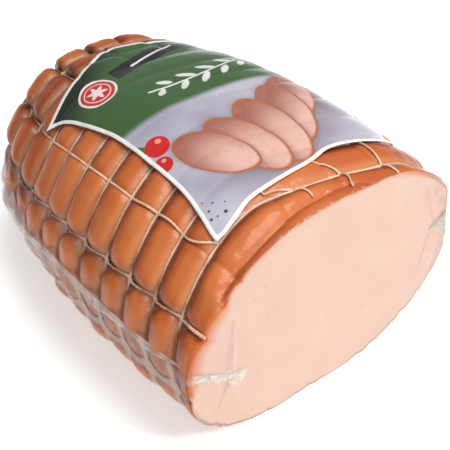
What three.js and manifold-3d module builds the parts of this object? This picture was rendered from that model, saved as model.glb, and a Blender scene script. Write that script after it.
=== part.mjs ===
// A netted, cooked turkey breast roast, cut across and packed in a skin-tight clear bag.
// Millimetres, +Z up. The cut face looks along -Y and the roast lies on its flat underside.
// The origin is on the resting plane, at the middle of the footprint.

import * as THREE from 'three';
import { mergeVertices } from 'three/addons/utils/BufferGeometryUtils.js';
import Module from 'manifold-3d';

const wasm = await Module();
wasm.setup();

// Cut face: a lopsided oval with a flat underside
const HALF_WIDTH = 79.8;
const FACE_HEIGHT = 97.0;
const WIDEST_LEVEL = 44.3;
const OVAL_POWER = { topRight: 3.5, topLeft: 1.72, bottomLeft: 3.3, bottomRight: 1.86 };
const LEAN = -0.108;
const FACE_SHIFT = -0.74;
const MIDDLE_LEVEL = 48.3;
const RIGHT_BULGE = { size: 4.0, turn: Math.PI / 10, spread: Math.PI / 15 };

// Body behind the cut: a barrel that closes in a blunt dome
const LENGTH = 201.4;
const WIDTH_SWELL = 0.03;
const HEIGHT_SWELL = 0.05;
const HEIGHT_RISE = 0.129;
const SWELL_SPAN = 0.9;
const WIDTH_CLOSING = { power: 1.675, root: 4.559 };
const HEIGHT_CLOSING = { power: 2.484, root: 5.0 };
const POLE_LIFT = 1.2;
const DRIFT = { linear: 0.0298, square: 0.000198 };
const MEAN_RADIUS = 62;

// Net: hoops across the roast and strings along it
const HOOP_SPACING = 18.23;
const HOOP_COUNT = 12;
const FIRST_GROOVE = -0.2;
const HOOP_BEND = { rise: -0.9, across: -3.85, skew: -5.4 };
const STRING_COUNT = 13;
const FIRST_STRING = 62.4;
const STRING_SHIFTS = [6.5, 0, 0, 5.3, 2.4, 3.8, 1.5, -2, 1, -1.5, 2, -1, 1.5];
const STRING_TWIST = 1.1;
const STRING_STARTS = [0.45, 0.4, 0.5, 0.9, 0.28, 0.9, 0.8, 0.8, 0.8, 0.8, 0.8, 0.6, 0.55];
const CORD = { halfWidth: 0.75, halfHeight: 0.55, offset: 1.76 };
const KNOT = { radius: 9, thickness: 5.2, gap: 0.4, gather: 4, rise: 1.3, segments: 12, bands: 8 };

// Pillows of meat between the strings
const PILLOW_DEPTH = { top: 3.2, flank: 5.5, bottom: 4.0 };
const PILLOW_BELOW = 0.7;
const PILLOW_SHAPE = { power: 0.7, fullness: 1.08 };
const STRING_DENT = { top: 0.6, bottom: 1.0 };
const FACING = { top: [0.2, 0.9], under: [0.3, 0.8] };
const POLE_FADE = { start: 0.82, least: 0.15 };
const POLE_DIMPLE = 1.6;

// The cut runs through full pillows, but along a groove at the upper left; strings hardly dent its outline
const FIRST_FILL = { swell: 0.9, hoops: [0.35, 0.6], leftFrom: [88, 104], leftTo: [166, 225] };
const CUT_DENT = { least: 0.3, hoops: [0.3, 0.6] };

// Label: a thin sheet over the top with drawn-out corners and hollow sides
const LABEL_OFFSET = 2.0;
const LABEL_THICKNESS = 0.5;
const LABEL_CORNERS = {
  frontLeft: [22, 158.6],
  frontRight: [23, 46],
  backLeft: [150.5, 171],
  backRight: [160, 60],
};
const LABEL_HOLLOWS = { left: -13.3, right: -3, front: 3, back: 14.5 };
const LABEL_HOLLOW_POWER = { side: 0.45, end: 0.8 };
const LABEL_CELLS = { along: 16, across: 14 };

// Sealed rim of the bag: a narrow crumpled flange at half height
const RIM_OFFSET = 3.1;
const RIM_THICKNESS = 0.7;
const RIM_WIDTH = 2.6;
const RIM_RIPPLE = { size: 0.8, turn: 1.7, second: 0.5, secondTurn: 2.9, lift: 0.4, widening: 0.5 };
const RIM_LEVEL = { left: 48, back: 38, right: 50 };
const RIM_REAR = [0.55, 1];
const RIM_CENTRE = [0, 95];
const RIM_CORNER_TURN = 0.02;
const RIM_TAIL = { width: 6.5, share: 0.09 };
const RIM_ON_FACE = { start: 3, length: 34, drop: 11, steps: 5, widths: [1.6, 2.4] };
const RIM_STEPS = 72;

// Exponents that shape the length tables: how hoops flatten out, and how places pack, towards the dome's pole
const BACK_FADE_POWER = 4;
const POLE_PACKING = 6;

// Probe steps and tolerances
const NORMAL_PROBE = 0.02;
const CROSSING_PROBE = 0.05;
const LENGTH_TOLERANCE = 1e-6;
const FOOT_TOLERANCE = 1e-3;
const WELD_TOLERANCE = 1e-4;
const KNIFE_MARGIN = 40;

// Mesh fineness
const COLUMNS_PER_CELL = 3;
const ROWS_PER_CELL = 3;
const COLUMNS = STRING_COUNT * COLUMNS_PER_CELL;
const TABLE_STEPS = 2000;

const clamp = THREE.MathUtils.clamp;
const lerp = THREE.MathUtils.lerp;
const smoothstep = THREE.MathUtils.smoothstep;

function wrapped(value, span) {
  return ((value % span) + span) % span;
}

function signedPower(value, power) {
  return Math.sign(value) * Math.abs(value) ** power;
}

function ovalPower(cosine, sine) {
  if (sine > 0) return cosine > 0 ? OVAL_POWER.topRight : OVAL_POWER.topLeft;
  return cosine > 0 ? OVAL_POWER.bottomRight : OVAL_POWER.bottomLeft;
}

// The cut face's outline at an angle, anticlockwise from the right side
function facePoint(angle, bulgeSize = RIGHT_BULGE.size) {
  const cosine = Math.cos(angle);
  const sine = Math.sin(angle);
  const power = 2 / ovalPower(cosine, sine);
  const reach = sine > 0 ? FACE_HEIGHT - WIDEST_LEVEL : WIDEST_LEVEL;
  const rise = reach * signedPower(sine, power);
  const fromBulge = wrapped(angle - RIGHT_BULGE.turn + Math.PI, 2 * Math.PI) - Math.PI;
  const bulge = bulgeSize * Math.exp(-((fromBulge / RIGHT_BULGE.spread) ** 2));
  return [FACE_SHIFT + HALF_WIDTH * signedPower(cosine, power) + LEAN * rise + bulge, WIDEST_LEVEL + rise];
}

// How much of the cut face's width and height is left at a distance behind the cut
function widthShare(y) {
  const share = clamp(y / LENGTH, 0, 1);
  const swell = 1 + WIDTH_SWELL * Math.sin(Math.PI * Math.min(share / SWELL_SPAN, 1));
  return swell * (1 - share ** WIDTH_CLOSING.power) ** (1 / WIDTH_CLOSING.root);
}

function heightShare(y) {
  const share = clamp(y / LENGTH, 0, 1);
  const swell = 1 + HEIGHT_SWELL * Math.sin(Math.PI * Math.min(share / SWELL_SPAN, 1)) + HEIGHT_RISE * share;
  return swell * (1 - share ** HEIGHT_CLOSING.power) ** (1 / HEIGHT_CLOSING.root);
}

function sideDrift(y) {
  return DRIFT.linear * y + DRIFT.square * y * y;
}

function bodyPoint(y, angle) {
  const [x, z] = facePoint(angle);
  const tall = heightShare(y);
  const lift = POLE_LIFT * MIDDLE_LEVEL * clamp(1 - tall, 0, 1);
  return new THREE.Vector3(sideDrift(y) + x * widthShare(y), y, z * tall + lift);
}

function bodyNormal(y, angle) {
  const step = NORMAL_PROBE;
  const near = clamp(y, step, LENGTH - 2 * step);
  const along = bodyPoint(near + step, angle).sub(bodyPoint(near - step, angle));
  const around = bodyPoint(near, angle + step).sub(bodyPoint(near, angle - step));
  return along.cross(around).normalize();
}

// Tables that turn lengths along a curve into its parameter
function lengthTable(count, lengthOfStep) {
  const lengths = [0];
  for (let i = 1; i <= count; i += 1) lengths.push(lengths[i - 1] + lengthOfStep(i));
  return lengths;
}

function shareAtLength(lengths, length) {
  let low = 0;
  let high = lengths.length - 1;
  while (high - low > 1) {
    const middle = (low + high) >> 1;
    if (lengths[middle] > length) high = middle;
    else low = middle;
  }
  const part = (length - lengths[low]) / (lengths[high] - lengths[low]);
  return (low + part) / (lengths.length - 1);
}

// Girth is taken along the oval without its bulge
const girthLengths = lengthTable(TABLE_STEPS, (i) => {
  const [x0, z0] = facePoint((2 * Math.PI * (i - 1)) / TABLE_STEPS, 0);
  const [x1, z1] = facePoint((2 * Math.PI * i) / TABLE_STEPS, 0);
  return Math.hypot(x1 - x0, z1 - z0);
});
const GIRTH = girthLengths[TABLE_STEPS];

function angleAtGirth(girth) {
  return 2 * Math.PI * shareAtLength(girthLengths, wrapped(girth, GIRTH));
}

// Distances behind the cut, packed closer towards the dome's pole
function tableY(i) {
  return LENGTH * (1 - (1 - i / TABLE_STEPS) ** POLE_PACKING);
}

function meanShare(y) {
  return (widthShare(y) + heightShare(y)) / 2;
}

const backLengths = lengthTable(TABLE_STEPS, (i) => {
  const fall = MEAN_RADIUS * (meanShare(tableY(i)) - meanShare(tableY(i - 1)));
  return Math.hypot(tableY(i) - tableY(i - 1), fall);
});
const BACK_LENGTH = backLengths[TABLE_STEPS];
const LAST_ROW = Math.floor((BACK_LENGTH / HOOP_SPACING) * ROWS_PER_CELL) - 1;

function yAtBackLength(length) {
  if (length <= 0) return length;
  return tableY(TABLE_STEPS * shareAtLength(backLengths, Math.min(length, BACK_LENGTH - LENGTH_TOLERANCE)));
}

// Hoops bow away from a flat plane as they go round
function hoopBend(angle) {
  const [x, z] = facePoint(angle);
  const turn = Math.atan2(z - MIDDLE_LEVEL, x);
  const bend = HOOP_BEND.rise * Math.sin(turn) + HOOP_BEND.across * Math.cos(2 * turn);
  return bend + HOOP_BEND.skew * Math.sin(2 * turn);
}

function stringGirth(index) {
  return FIRST_STRING + (index * GIRTH) / STRING_COUNT + STRING_SHIFTS[wrapped(index, STRING_COUNT)];
}

// Net coordinates: hoop counts cells behind the cut and string counts cells round the girth
function netPlace(hoop, string) {
  const before = Math.floor(string);
  const straight = lerp(stringGirth(before), stringGirth(before + 1), string - before);
  const girth = straight + STRING_TWIST * Math.max(hoop - 1, 0);
  const angle = angleAtGirth(girth);
  const length = FIRST_GROOVE + hoop * HOOP_SPACING;
  const fade = 1 - clamp(length / BACK_LENGTH, 0, 1) ** BACK_FADE_POWER;
  return { y: yAtBackLength(length + fade * hoopBend(angle)), angle, girth };
}

// One pillow's swell across a cell, from 0 on its border to 1 in its middle
function pillow(share) {
  const part = share - Math.floor(share);
  return Math.min(1, (4 * part * (1 - part)) ** PILLOW_SHAPE.power * PILLOW_SHAPE.fullness);
}

// Least swell beside the cut, where the first groove is filled
function cutSwell(hoop, girth) {
  const around = wrapped(girth, GIRTH);
  const groove = smoothstep(around, ...FIRST_FILL.leftFrom) * (1 - smoothstep(around, ...FIRST_FILL.leftTo));
  return FIRST_FILL.swell * (1 - groove) * (1 - smoothstep(Math.abs(hoop), ...FIRST_FILL.hoops));
}

function reliefHeight(hoop, string, girth, normal) {
  const side = smoothstep(normal.z, ...FACING.top);
  const under = smoothstep(-normal.z, ...FACING.under);
  const upper = lerp(PILLOW_DEPTH.flank, PILLOW_DEPTH.top, side);
  const fade = lerp(1, POLE_FADE.least, smoothstep(hoop * HOOP_SPACING / BACK_LENGTH, POLE_FADE.start, 1));
  const depth = lerp(upper, PILLOW_DEPTH.bottom, under) * fade;
  const cutDent = lerp(CUT_DENT.least, 1, smoothstep(hoop, ...CUT_DENT.hoops));
  const dent = lerp(STRING_DENT.top, STRING_DENT.bottom, under) * cutDent;
  const swell = Math.max(pillow(hoop), cutSwell(hoop, girth)) * (1 - dent * (1 - pillow(string)));
  return depth * (swell - PILLOW_BELOW);
}

function surfaceAt(hoop, string) {
  const place = netPlace(hoop, string);
  const normal = bodyNormal(place.y, place.angle);
  const height = reliefHeight(hoop, string, place.girth, normal);
  const point = bodyPoint(place.y, place.angle).addScaledVector(normal, height);
  return { point, normal };
}

// Closed meshes from rings of points
function geometryFrom(points, faces) {
  const geometry = new THREE.BufferGeometry();
  const positions = new Float32Array(points.length * 3);
  points.forEach((point, i) => point.toArray(positions, i * 3));
  geometry.setAttribute('position', new THREE.BufferAttribute(positions, 3));
  geometry.setIndex(faces.flat());
  return geometry;
}

function volumeOf(geometry) {
  const position = geometry.getAttribute('position');
  const index = geometry.getIndex();
  const corners = [new THREE.Vector3(), new THREE.Vector3(), new THREE.Vector3()];
  let volume = 0;
  for (let i = 0; i < index.count; i += 3) {
    corners.forEach((corner, k) => corner.fromBufferAttribute(position, index.getX(i + k)));
    volume += corners[0].dot(corners[1].clone().cross(corners[2])) / 6;
  }
  return volume;
}

function outward(points, faces) {
  const geometry = geometryFrom(points, faces);
  if (volumeOf(geometry) > 0) return geometry;
  return geometryFrom(points, faces.map(([a, b, c]) => [a, c, b]));
}

function quad(a, b, c, d) {
  return [[a, b, c], [a, c, d]];
}

function ringFaces(rings, sides, closed) {
  const faces = [];
  const spans = closed ? rings : rings - 1;
  for (let i = 0; i < spans; i += 1) {
    const here = i * sides;
    const next = ((i + 1) % rings) * sides;
    for (let k = 0; k < sides; k += 1) {
      const other = (k + 1) % sides;
      faces.push(...quad(here + k, here + other, next + other, next + k));
    }
  }
  return faces;
}

function capFaces(first, sides, reversed) {
  const faces = [];
  for (let k = 1; k < sides - 1; k += 1) {
    faces.push(reversed ? [first, first + k + 1, first + k] : [first, first + k, first + k + 1]);
  }
  return faces;
}

function toSolid(geometry) {
  const bare = new THREE.BufferGeometry();
  bare.setAttribute('position', geometry.getAttribute('position'));
  if (geometry.getIndex()) bare.setIndex(geometry.getIndex());
  const merged = mergeVertices(bare, WELD_TOLERANCE);
  const vertProperties = new Float32Array(merged.getAttribute('position').array);
  const triVerts = new Uint32Array(merged.getIndex().array);
  return new wasm.Manifold(new wasm.Mesh({ numProp: 3, vertProperties, triVerts }));
}

function toGeometry(solid) {
  const mesh = solid.getMesh();
  const geometry = new THREE.BufferGeometry();
  geometry.setAttribute('position', new THREE.BufferAttribute(mesh.vertProperties, mesh.numProp));
  geometry.setIndex(new THREE.BufferAttribute(mesh.triVerts, 1));
  return geometry;
}

function boxSolid(low, high) {
  const size = high.map((value, i) => value - low[i]);
  const box = new THREE.BoxGeometry(...size);
  box.translate(...low.map((value, i) => value + size[i] / 2));
  return toSolid(box);
}

// The roast: a pillowed barrel, sliced flat at the front and pressed flat underneath
function barrelSolid() {
  const points = [];
  const firstRow = -ROWS_PER_CELL;
  for (let row = firstRow; row <= LAST_ROW; row += 1) {
    for (let column = 0; column < COLUMNS; column += 1) {
      points.push(surfaceAt(row / ROWS_PER_CELL, column / COLUMNS_PER_CELL).point);
    }
  }
  const rings = LAST_ROW - firstRow + 1;
  const faces = ringFaces(rings, COLUMNS, false);
  faces.push(...capFaces(0, COLUMNS, true));
  const pole = points.length;
  points.push(bodyPoint(LENGTH, 0).setY(LENGTH - POLE_DIMPLE));
  const last = (rings - 1) * COLUMNS;
  for (let k = 0; k < COLUMNS; k += 1) faces.push([pole, last + k, last + ((k + 1) % COLUMNS)]);
  return toSolid(outward(points, faces));
}

function roastGeometry() {
  const margin = KNIFE_MARGIN;
  const far = HALF_WIDTH + margin;
  const knife = boxSolid([-far, -margin, -margin], [far, 0, FACE_HEIGHT + margin]);
  const table = boxSolid([-far, -2 * margin, -margin], [far, LENGTH + margin, 0]);
  return toGeometry(barrelSolid().subtract(knife).subtract(table));
}

// A cord's square section at a place on the surface, square to the way it runs
function cordRing(place, forward) {
  const side = forward.clone().cross(place.normal).normalize();
  const centre = place.point.clone().addScaledVector(place.normal, CORD.offset);
  return [[-1, -1], [1, -1], [1, 1], [-1, 1]].map(([across, up]) => centre.clone()
    .addScaledVector(side, across * CORD.halfWidth)
    .addScaledVector(place.normal, up * CORD.halfHeight));
}

// A crossing's block: its foot and its top, each from the front left corner anticlockwise
function crossingBlock(hoop, string) {
  const place = surfaceAt(hoop, string);
  const along = surfaceAt(hoop + CROSSING_PROBE, string).point.sub(place.point);
  const side = along.cross(place.normal).normalize();
  const back = place.normal.clone().cross(side).normalize();
  const corner = (across, rear, up) => place.point.clone()
    .addScaledVector(side, across * CORD.halfWidth)
    .addScaledVector(back, rear * CORD.halfWidth)
    .addScaledVector(place.normal, CORD.offset + up * CORD.halfHeight);
  const round = [[-1, -1], [1, -1], [1, 1], [-1, 1]];
  return [-1, 1].flatMap((up) => round.map(([across, rear]) => corner(across, rear, up)));
}

// A mesh that arms and blocks are added to; they share the points where they meet
class Lattice {
  constructor() {
    this.points = [];
    this.faces = [];
  }

  add(points) {
    const first = this.points.length;
    this.points.push(...points);
    return points.map((point, i) => first + i);
  }

  quad(a, b, c, d) {
    this.faces.push(...quad(a, b, c, d));
  }

  // Joins rings of four points into one square tube
  tube(rings) {
    for (let i = 0; i + 1 < rings.length; i += 1) {
      for (let k = 0; k < 4; k += 1) {
        const other = (k + 1) % 4;
        this.quad(rings[i][k], rings[i + 1][k], rings[i + 1][other], rings[i][other]);
      }
    }
  }

  cap(ring) {
    this.quad(...ring);
  }
}

// A block's four sides, in the order of cordRing's corners for a hoop or string that meets them
const BLOCK_SIDES = { back: [3, 2, 6, 7], front: [0, 1, 5, 4], left: [0, 3, 7, 4], right: [1, 2, 6, 5] };

function sideOf(block, way) {
  return BLOCK_SIDES[way].map((i) => block[i]);
}

function direction(from, to) {
  return to.point.clone().sub(from.point).normalize();
}

// Rings along a hoop between two neighbouring strings
function hoopRings(lattice, hoop, string) {
  const rings = [];
  for (let step = 1; step < COLUMNS_PER_CELL; step += 1) {
    const here = string + step / COLUMNS_PER_CELL;
    const before = surfaceAt(hoop, here - CROSSING_PROBE);
    const after = surfaceAt(hoop, here + CROSSING_PROBE);
    rings.push(lattice.add(cordRing(surfaceAt(hoop, here), direction(before, after))));
  }
  return rings;
}

// Rings along a string from one row to another, both included
function stringRings(lattice, string, firstRow, lastRow) {
  const rings = [];
  for (let row = firstRow; row <= lastRow; row += 1) {
    const here = row / ROWS_PER_CELL;
    const before = surfaceAt(here - CROSSING_PROBE, string);
    const after = surfaceAt(here + CROSSING_PROBE, string);
    rings.push(lattice.add(cordRing(surfaceAt(here, string), direction(before, after))));
  }
  return rings;
}

// The snipped end of a string, a little behind the cut
function stringEnd(lattice, string) {
  const start = STRING_STARTS[string];
  const end = surfaceAt(start, string);
  const ring = lattice.add(cordRing(end, direction(end, surfaceAt(start + CROSSING_PROBE, string))));
  const firstRow = Math.floor(start * ROWS_PER_CELL + 0.5) + 1;
  return [ring, ...stringRings(lattice, string, firstRow, ROWS_PER_CELL - 1)];
}

// Where a string leaves the dome and rises into the knot
function gatheredRing(lattice, string) {
  const last = surfaceAt(LAST_ROW / ROWS_PER_CELL, string).point;
  const pole = bodyPoint(LENGTH, 0);
  const normal = new THREE.Vector3(0, 1, 0);
  const inward = last.sub(pole).setY(0).normalize();
  const point = pole.clone().addScaledVector(inward, KNOT.gather).addScaledVector(normal, KNOT.rise);
  return lattice.add(cordRing({ point, normal }, inward.negate()));
}

function crossingBlocks(lattice) {
  const blocks = [];
  for (let hoop = 1; hoop <= HOOP_COUNT; hoop += 1) {
    blocks[hoop] = [];
    for (let string = 0; string < STRING_COUNT; string += 1) {
      const block = lattice.add(crossingBlock(hoop, string));
      blocks[hoop].push(block);
      lattice.quad(block[3], block[2], block[1], block[0]);
      lattice.quad(block[4], block[5], block[6], block[7]);
    }
  }
  return blocks;
}

function addHoopArm(lattice, blocks, hoop, string) {
  const here = sideOf(blocks[hoop][string], 'left');
  const next = sideOf(blocks[hoop][(string + 1) % STRING_COUNT], 'right');
  lattice.tube([here, ...hoopRings(lattice, hoop, string), next]);
}

// A string's part behind a crossing: to the next hoop, or from the last one into the knot
function addStringArm(lattice, blocks, hoop, string) {
  const leave = sideOf(blocks[hoop][string], 'back');
  const firstRow = hoop * ROWS_PER_CELL + 1;
  if (hoop < HOOP_COUNT) {
    const rings = stringRings(lattice, string, firstRow, firstRow + ROWS_PER_CELL - 2);
    lattice.tube([leave, ...rings, sideOf(blocks[hoop + 1][string], 'front')]);
    return;
  }
  const gathered = gatheredRing(lattice, string);
  lattice.tube([leave, ...stringRings(lattice, string, firstRow, LAST_ROW), gathered]);
  lattice.cap([...gathered].reverse());
}

function addStringEnd(lattice, blocks, string) {
  const rings = stringEnd(lattice, string);
  lattice.tube([...rings, sideOf(blocks[1][string], 'front')]);
  lattice.cap(rings[0]);
}

function netLattice() {
  const lattice = new Lattice();
  const blocks = crossingBlocks(lattice);
  for (let string = 0; string < STRING_COUNT; string += 1) {
    for (let hoop = 1; hoop <= HOOP_COUNT; hoop += 1) {
      addHoopArm(lattice, blocks, hoop, string);
      addStringArm(lattice, blocks, hoop, string);
    }
    addStringEnd(lattice, blocks, string);
  }
  return lattice;
}

function knotSolid() {
  const knot = new THREE.SphereGeometry(1, KNOT.segments, KNOT.bands);
  const pole = bodyPoint(LENGTH, 0);
  knot.scale(KNOT.radius, KNOT.thickness / 2, KNOT.radius);
  knot.translate(pole.x, pole.y + KNOT.gap + KNOT.thickness / 2, pole.z);
  return toSolid(knot);
}

function netGeometry() {
  const { points, faces } = netLattice();
  return toGeometry(toSolid(outward(points, faces)).add(knotSolid()));
}

// The label's sheet: its outline is four bowed sides between four corners, as [y, girth]
function bowed(from, to, share, hollow, power, axis) {
  const place = [lerp(from[0], to[0], share), lerp(from[1], to[1], share)];
  place[axis] += hollow * (4 * share * (1 - share)) ** power;
  return place;
}

function labelPlace(along, across) {
  const { frontLeft, frontRight, backLeft, backRight } = LABEL_CORNERS;
  const { side, end } = LABEL_HOLLOW_POWER;
  const left = bowed(frontLeft, backLeft, along, LABEL_HOLLOWS.left, side, 1);
  const right = bowed(frontRight, backRight, along, LABEL_HOLLOWS.right, side, 1);
  const front = bowed(frontLeft, frontRight, across, LABEL_HOLLOWS.front, end, 0);
  const back = bowed(backLeft, backRight, across, LABEL_HOLLOWS.back, end, 0);
  return [0, 1].map((axis) => {
    const sides = lerp(left[axis], right[axis], across) + lerp(front[axis], back[axis], along);
    const nearEnd = lerp(frontLeft[axis], frontRight[axis], across);
    const farEnd = lerp(backLeft[axis], backRight[axis], across);
    return sides - lerp(nearEnd, farEnd, along);
  });
}

function labelPoints() {
  const { along, across } = LABEL_CELLS;
  const points = [];
  [LABEL_OFFSET, LABEL_OFFSET + LABEL_THICKNESS].forEach((height) => {
    for (let i = 0; i <= along; i += 1) {
      for (let j = 0; j <= across; j += 1) {
        const [y, girth] = labelPlace(i / along, j / across);
        const angle = angleAtGirth(girth);
        points.push(bodyPoint(y, angle).addScaledVector(bodyNormal(y, angle), height));
      }
    }
  });
  return points;
}

// Both sides of a sheet whose upper points follow its lower ones
function sheetFaces(rows, columns) {
  const count = rows * columns;
  const faces = [];
  for (let i = 0; i + 1 < rows; i += 1) {
    for (let j = 0; j + 1 < columns; j += 1) {
      const a = i * columns + j;
      faces.push(...quad(a, a + 1, a + columns + 1, a + columns));
      faces.push(...quad(count + a, count + a + columns, count + a + columns + 1, count + a + 1));
    }
  }
  return faces;
}

function sheetBorder(rows, columns) {
  const border = [];
  for (let j = 0; j < columns - 1; j += 1) border.push(j);
  for (let i = 0; i < rows - 1; i += 1) border.push((i + 1) * columns - 1);
  for (let j = columns - 1; j > 0; j -= 1) border.push((rows - 1) * columns + j);
  for (let i = rows - 1; i > 0; i -= 1) border.push(i * columns);
  return border;
}

function labelGeometry() {
  const rows = LABEL_CELLS.along + 1;
  const columns = LABEL_CELLS.across + 1;
  const count = rows * columns;
  const faces = sheetFaces(rows, columns);
  sheetBorder(rows, columns).forEach((here, k, border) => {
    const next = border[(k + 1) % border.length];
    faces.push(...quad(next, here, count + here, count + next));
  });
  return outward(labelPoints(), faces);
}

// Whether a point lies inside the body without its pillows
function insideBody(point) {
  if (point.y < 0 || point.y > LENGTH) return false;
  const tall = heightShare(point.y);
  const lift = POLE_LIFT * MIDDLE_LEVEL * clamp(1 - tall, 0, 1);
  const rise = (point.z - lift) / tall - WIDEST_LEVEL;
  const reach = rise > 0 ? FACE_HEIGHT - WIDEST_LEVEL : WIDEST_LEVEL;
  const side = (point.x - sideDrift(point.y)) / widthShare(point.y) - FACE_SHIFT - LEAN * rise;
  const across = side / HALF_WIDTH;
  const power = ovalPower(across, rise);
  return Math.abs(across) ** power + Math.abs(rise / reach) ** power < 1;
}

// The rim's foot: where a level ray from the middle leaves the body
function rimFoot(turn) {
  const direction = new THREE.Vector3(Math.sin(turn), -Math.cos(turn), 0);
  const rearward = (1 - Math.cos(turn)) / 2;
  const sideLevel = turn < Math.PI ? RIM_LEVEL.right : RIM_LEVEL.left;
  const level = lerp(sideLevel, RIM_LEVEL.back, smoothstep(rearward, ...RIM_REAR));
  const start = new THREE.Vector3(RIM_CENTRE[0], RIM_CENTRE[1], level);
  let near = 0;
  let far = LENGTH;
  while (far - near > FOOT_TOLERANCE) {
    const middle = (near + far) / 2;
    if (insideBody(start.clone().addScaledVector(direction, middle))) near = middle;
    else far = middle;
  }
  return { foot: start.addScaledVector(direction, near + RIM_OFFSET), direction };
}

// Sections of the rim from the front right corner round the back to the front left corner
function rimSideSections() {
  const corner = Math.atan2(HALF_WIDTH, RIM_CENTRE[1]) + RIM_CORNER_TURN;
  const sections = [];
  for (let i = 0; i <= RIM_STEPS; i += 1) {
    const share = i / RIM_STEPS;
    const { foot, direction } = rimFoot(lerp(corner, 2 * Math.PI - corner, share));
    const waves = Math.sin(i * RIM_RIPPLE.turn) + RIM_RIPPLE.second * Math.sin(i * RIM_RIPPLE.secondTurn);
    const ripple = RIM_RIPPLE.size * waves;
    const tail = RIM_TAIL.width * smoothstep(RIM_TAIL.share - share, 0, RIM_TAIL.share);
    foot.z += RIM_RIPPLE.lift * ripple;
    sections.push({ foot, direction, width: RIM_WIDTH + tail + RIM_RIPPLE.widening * ripple });
  }
  return sections;
}

// The rim's end, folded over the left part of the cut face
function rimFaceSections(corner) {
  const { start, length, drop, steps, widths } = RIM_ON_FACE;
  const direction = new THREE.Vector3(0, -1, 0);
  const sections = [];
  for (let i = 0; i <= steps; i += 1) {
    const share = i / steps;
    const across = corner.x + start + length * share;
    const foot = new THREE.Vector3(across, -RIM_OFFSET / 2, corner.z - drop * share);
    sections.push({ foot, direction, width: lerp(...widths, share) });
  }
  return sections;
}

function rimSections() {
  const sides = rimSideSections();
  return [...sides, ...rimFaceSections(sides[sides.length - 1].foot)];
}

function rimGeometry() {
  const half = new THREE.Vector3(0, 0, RIM_THICKNESS / 2);
  const points = [];
  const sections = rimSections();
  sections.forEach(({ foot, direction, width }) => {
    const edge = foot.clone().addScaledVector(direction, width);
    points.push(foot.clone().sub(half), edge.clone().sub(half));
    points.push(edge.clone().add(half), foot.clone().add(half));
  });
  const faces = ringFaces(sections.length, 4, false);
  faces.push(...capFaces(0, 4, true));
  faces.push(...capFaces((sections.length - 1) * 4, 4, false));
  return outward(points, faces);
}

function part(name, geometry, color, roughness) {
  const mesh = new THREE.Mesh(geometry, new THREE.MeshStandardMaterial({ color, roughness, metalness: 0 }));
  mesh.name = name;
  return mesh;
}

const roast = new THREE.Group();
roast.add(
  part('roast', roastGeometry(), 0xb75d2f, 0.45),
  part('net', netGeometry(), 0xd9bfa0, 0.8),
  part('label', labelGeometry(), 0x3b6b3a, 0.35),
  part('bag_rim', rimGeometry(), 0xdfe3e2, 0.15),
);

// The footprint's middle goes to the origin
const footprint = new THREE.Box3().setFromObject(roast);
roast.position.set(-(footprint.min.x + footprint.max.x) / 2, -(footprint.min.y + footprint.max.y) / 2, 0);

export default roast;
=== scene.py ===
"""Looks of a netted roast turkey breast in a tight clear bag with a sheet label, round the CAD frame.

Metres, +Z up. Shapes are made with the cut face at y = 0 and are moved to the frame's place as meshes.
"""
import math

import bpy
import numpy as np
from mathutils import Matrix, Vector


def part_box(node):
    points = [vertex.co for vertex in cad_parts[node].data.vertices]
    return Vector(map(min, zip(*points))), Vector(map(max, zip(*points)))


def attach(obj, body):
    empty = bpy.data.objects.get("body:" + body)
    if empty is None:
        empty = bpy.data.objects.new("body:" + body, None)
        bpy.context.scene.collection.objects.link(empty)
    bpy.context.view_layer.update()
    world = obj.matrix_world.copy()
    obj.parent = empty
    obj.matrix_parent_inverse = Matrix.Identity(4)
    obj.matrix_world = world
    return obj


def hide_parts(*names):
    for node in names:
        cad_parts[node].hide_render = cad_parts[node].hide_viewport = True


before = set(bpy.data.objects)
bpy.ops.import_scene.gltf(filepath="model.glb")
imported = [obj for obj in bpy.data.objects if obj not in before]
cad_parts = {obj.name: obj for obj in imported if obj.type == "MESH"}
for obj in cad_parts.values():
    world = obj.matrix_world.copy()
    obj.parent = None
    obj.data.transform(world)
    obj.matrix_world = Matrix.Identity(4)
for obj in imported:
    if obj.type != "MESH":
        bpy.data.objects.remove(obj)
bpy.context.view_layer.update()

# Place of the modelled shapes in the frame
CUT_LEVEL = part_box("roast")[0].y
SIDE_SHIFT = -0.00175
ORIGIN = np.array([SIDE_SHIFT, CUT_LEVEL, 0.0])

# Cut face: a lopsided oval with a flat underside
HALF_WIDTH = 0.0798
FACE_HEIGHT = 0.0970
WIDEST_LEVEL = 0.0443
OVAL_POWER = {"top_right": 3.5, "top_left": 1.72, "bottom_left": 3.3, "bottom_right": 1.86}
LEAN = -0.108
FACE_SHIFT = -0.00074
MIDDLE_LEVEL = 0.0483
RIGHT_BULGE = {"size": 0.0040, "turn": math.radians(18), "spread": math.radians(12)}

# Body behind the cut: a barrel that closes in a blunt dome
LENGTH = 0.2014
WIDTH_SWELL = 0.03
HEIGHT_SWELL = 0.05
HEIGHT_RISE = 0.129
SWELL_SPAN = 0.9
WIDTH_CLOSING = {"power": 1.675, "root": 4.559}
HEIGHT_CLOSING = {"power": 2.484, "root": 5.0}
POLE_LIFT = 1.2
DRIFT = {"linear": 0.0298, "square": 0.198}
MEAN_RADIUS = 0.062

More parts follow.
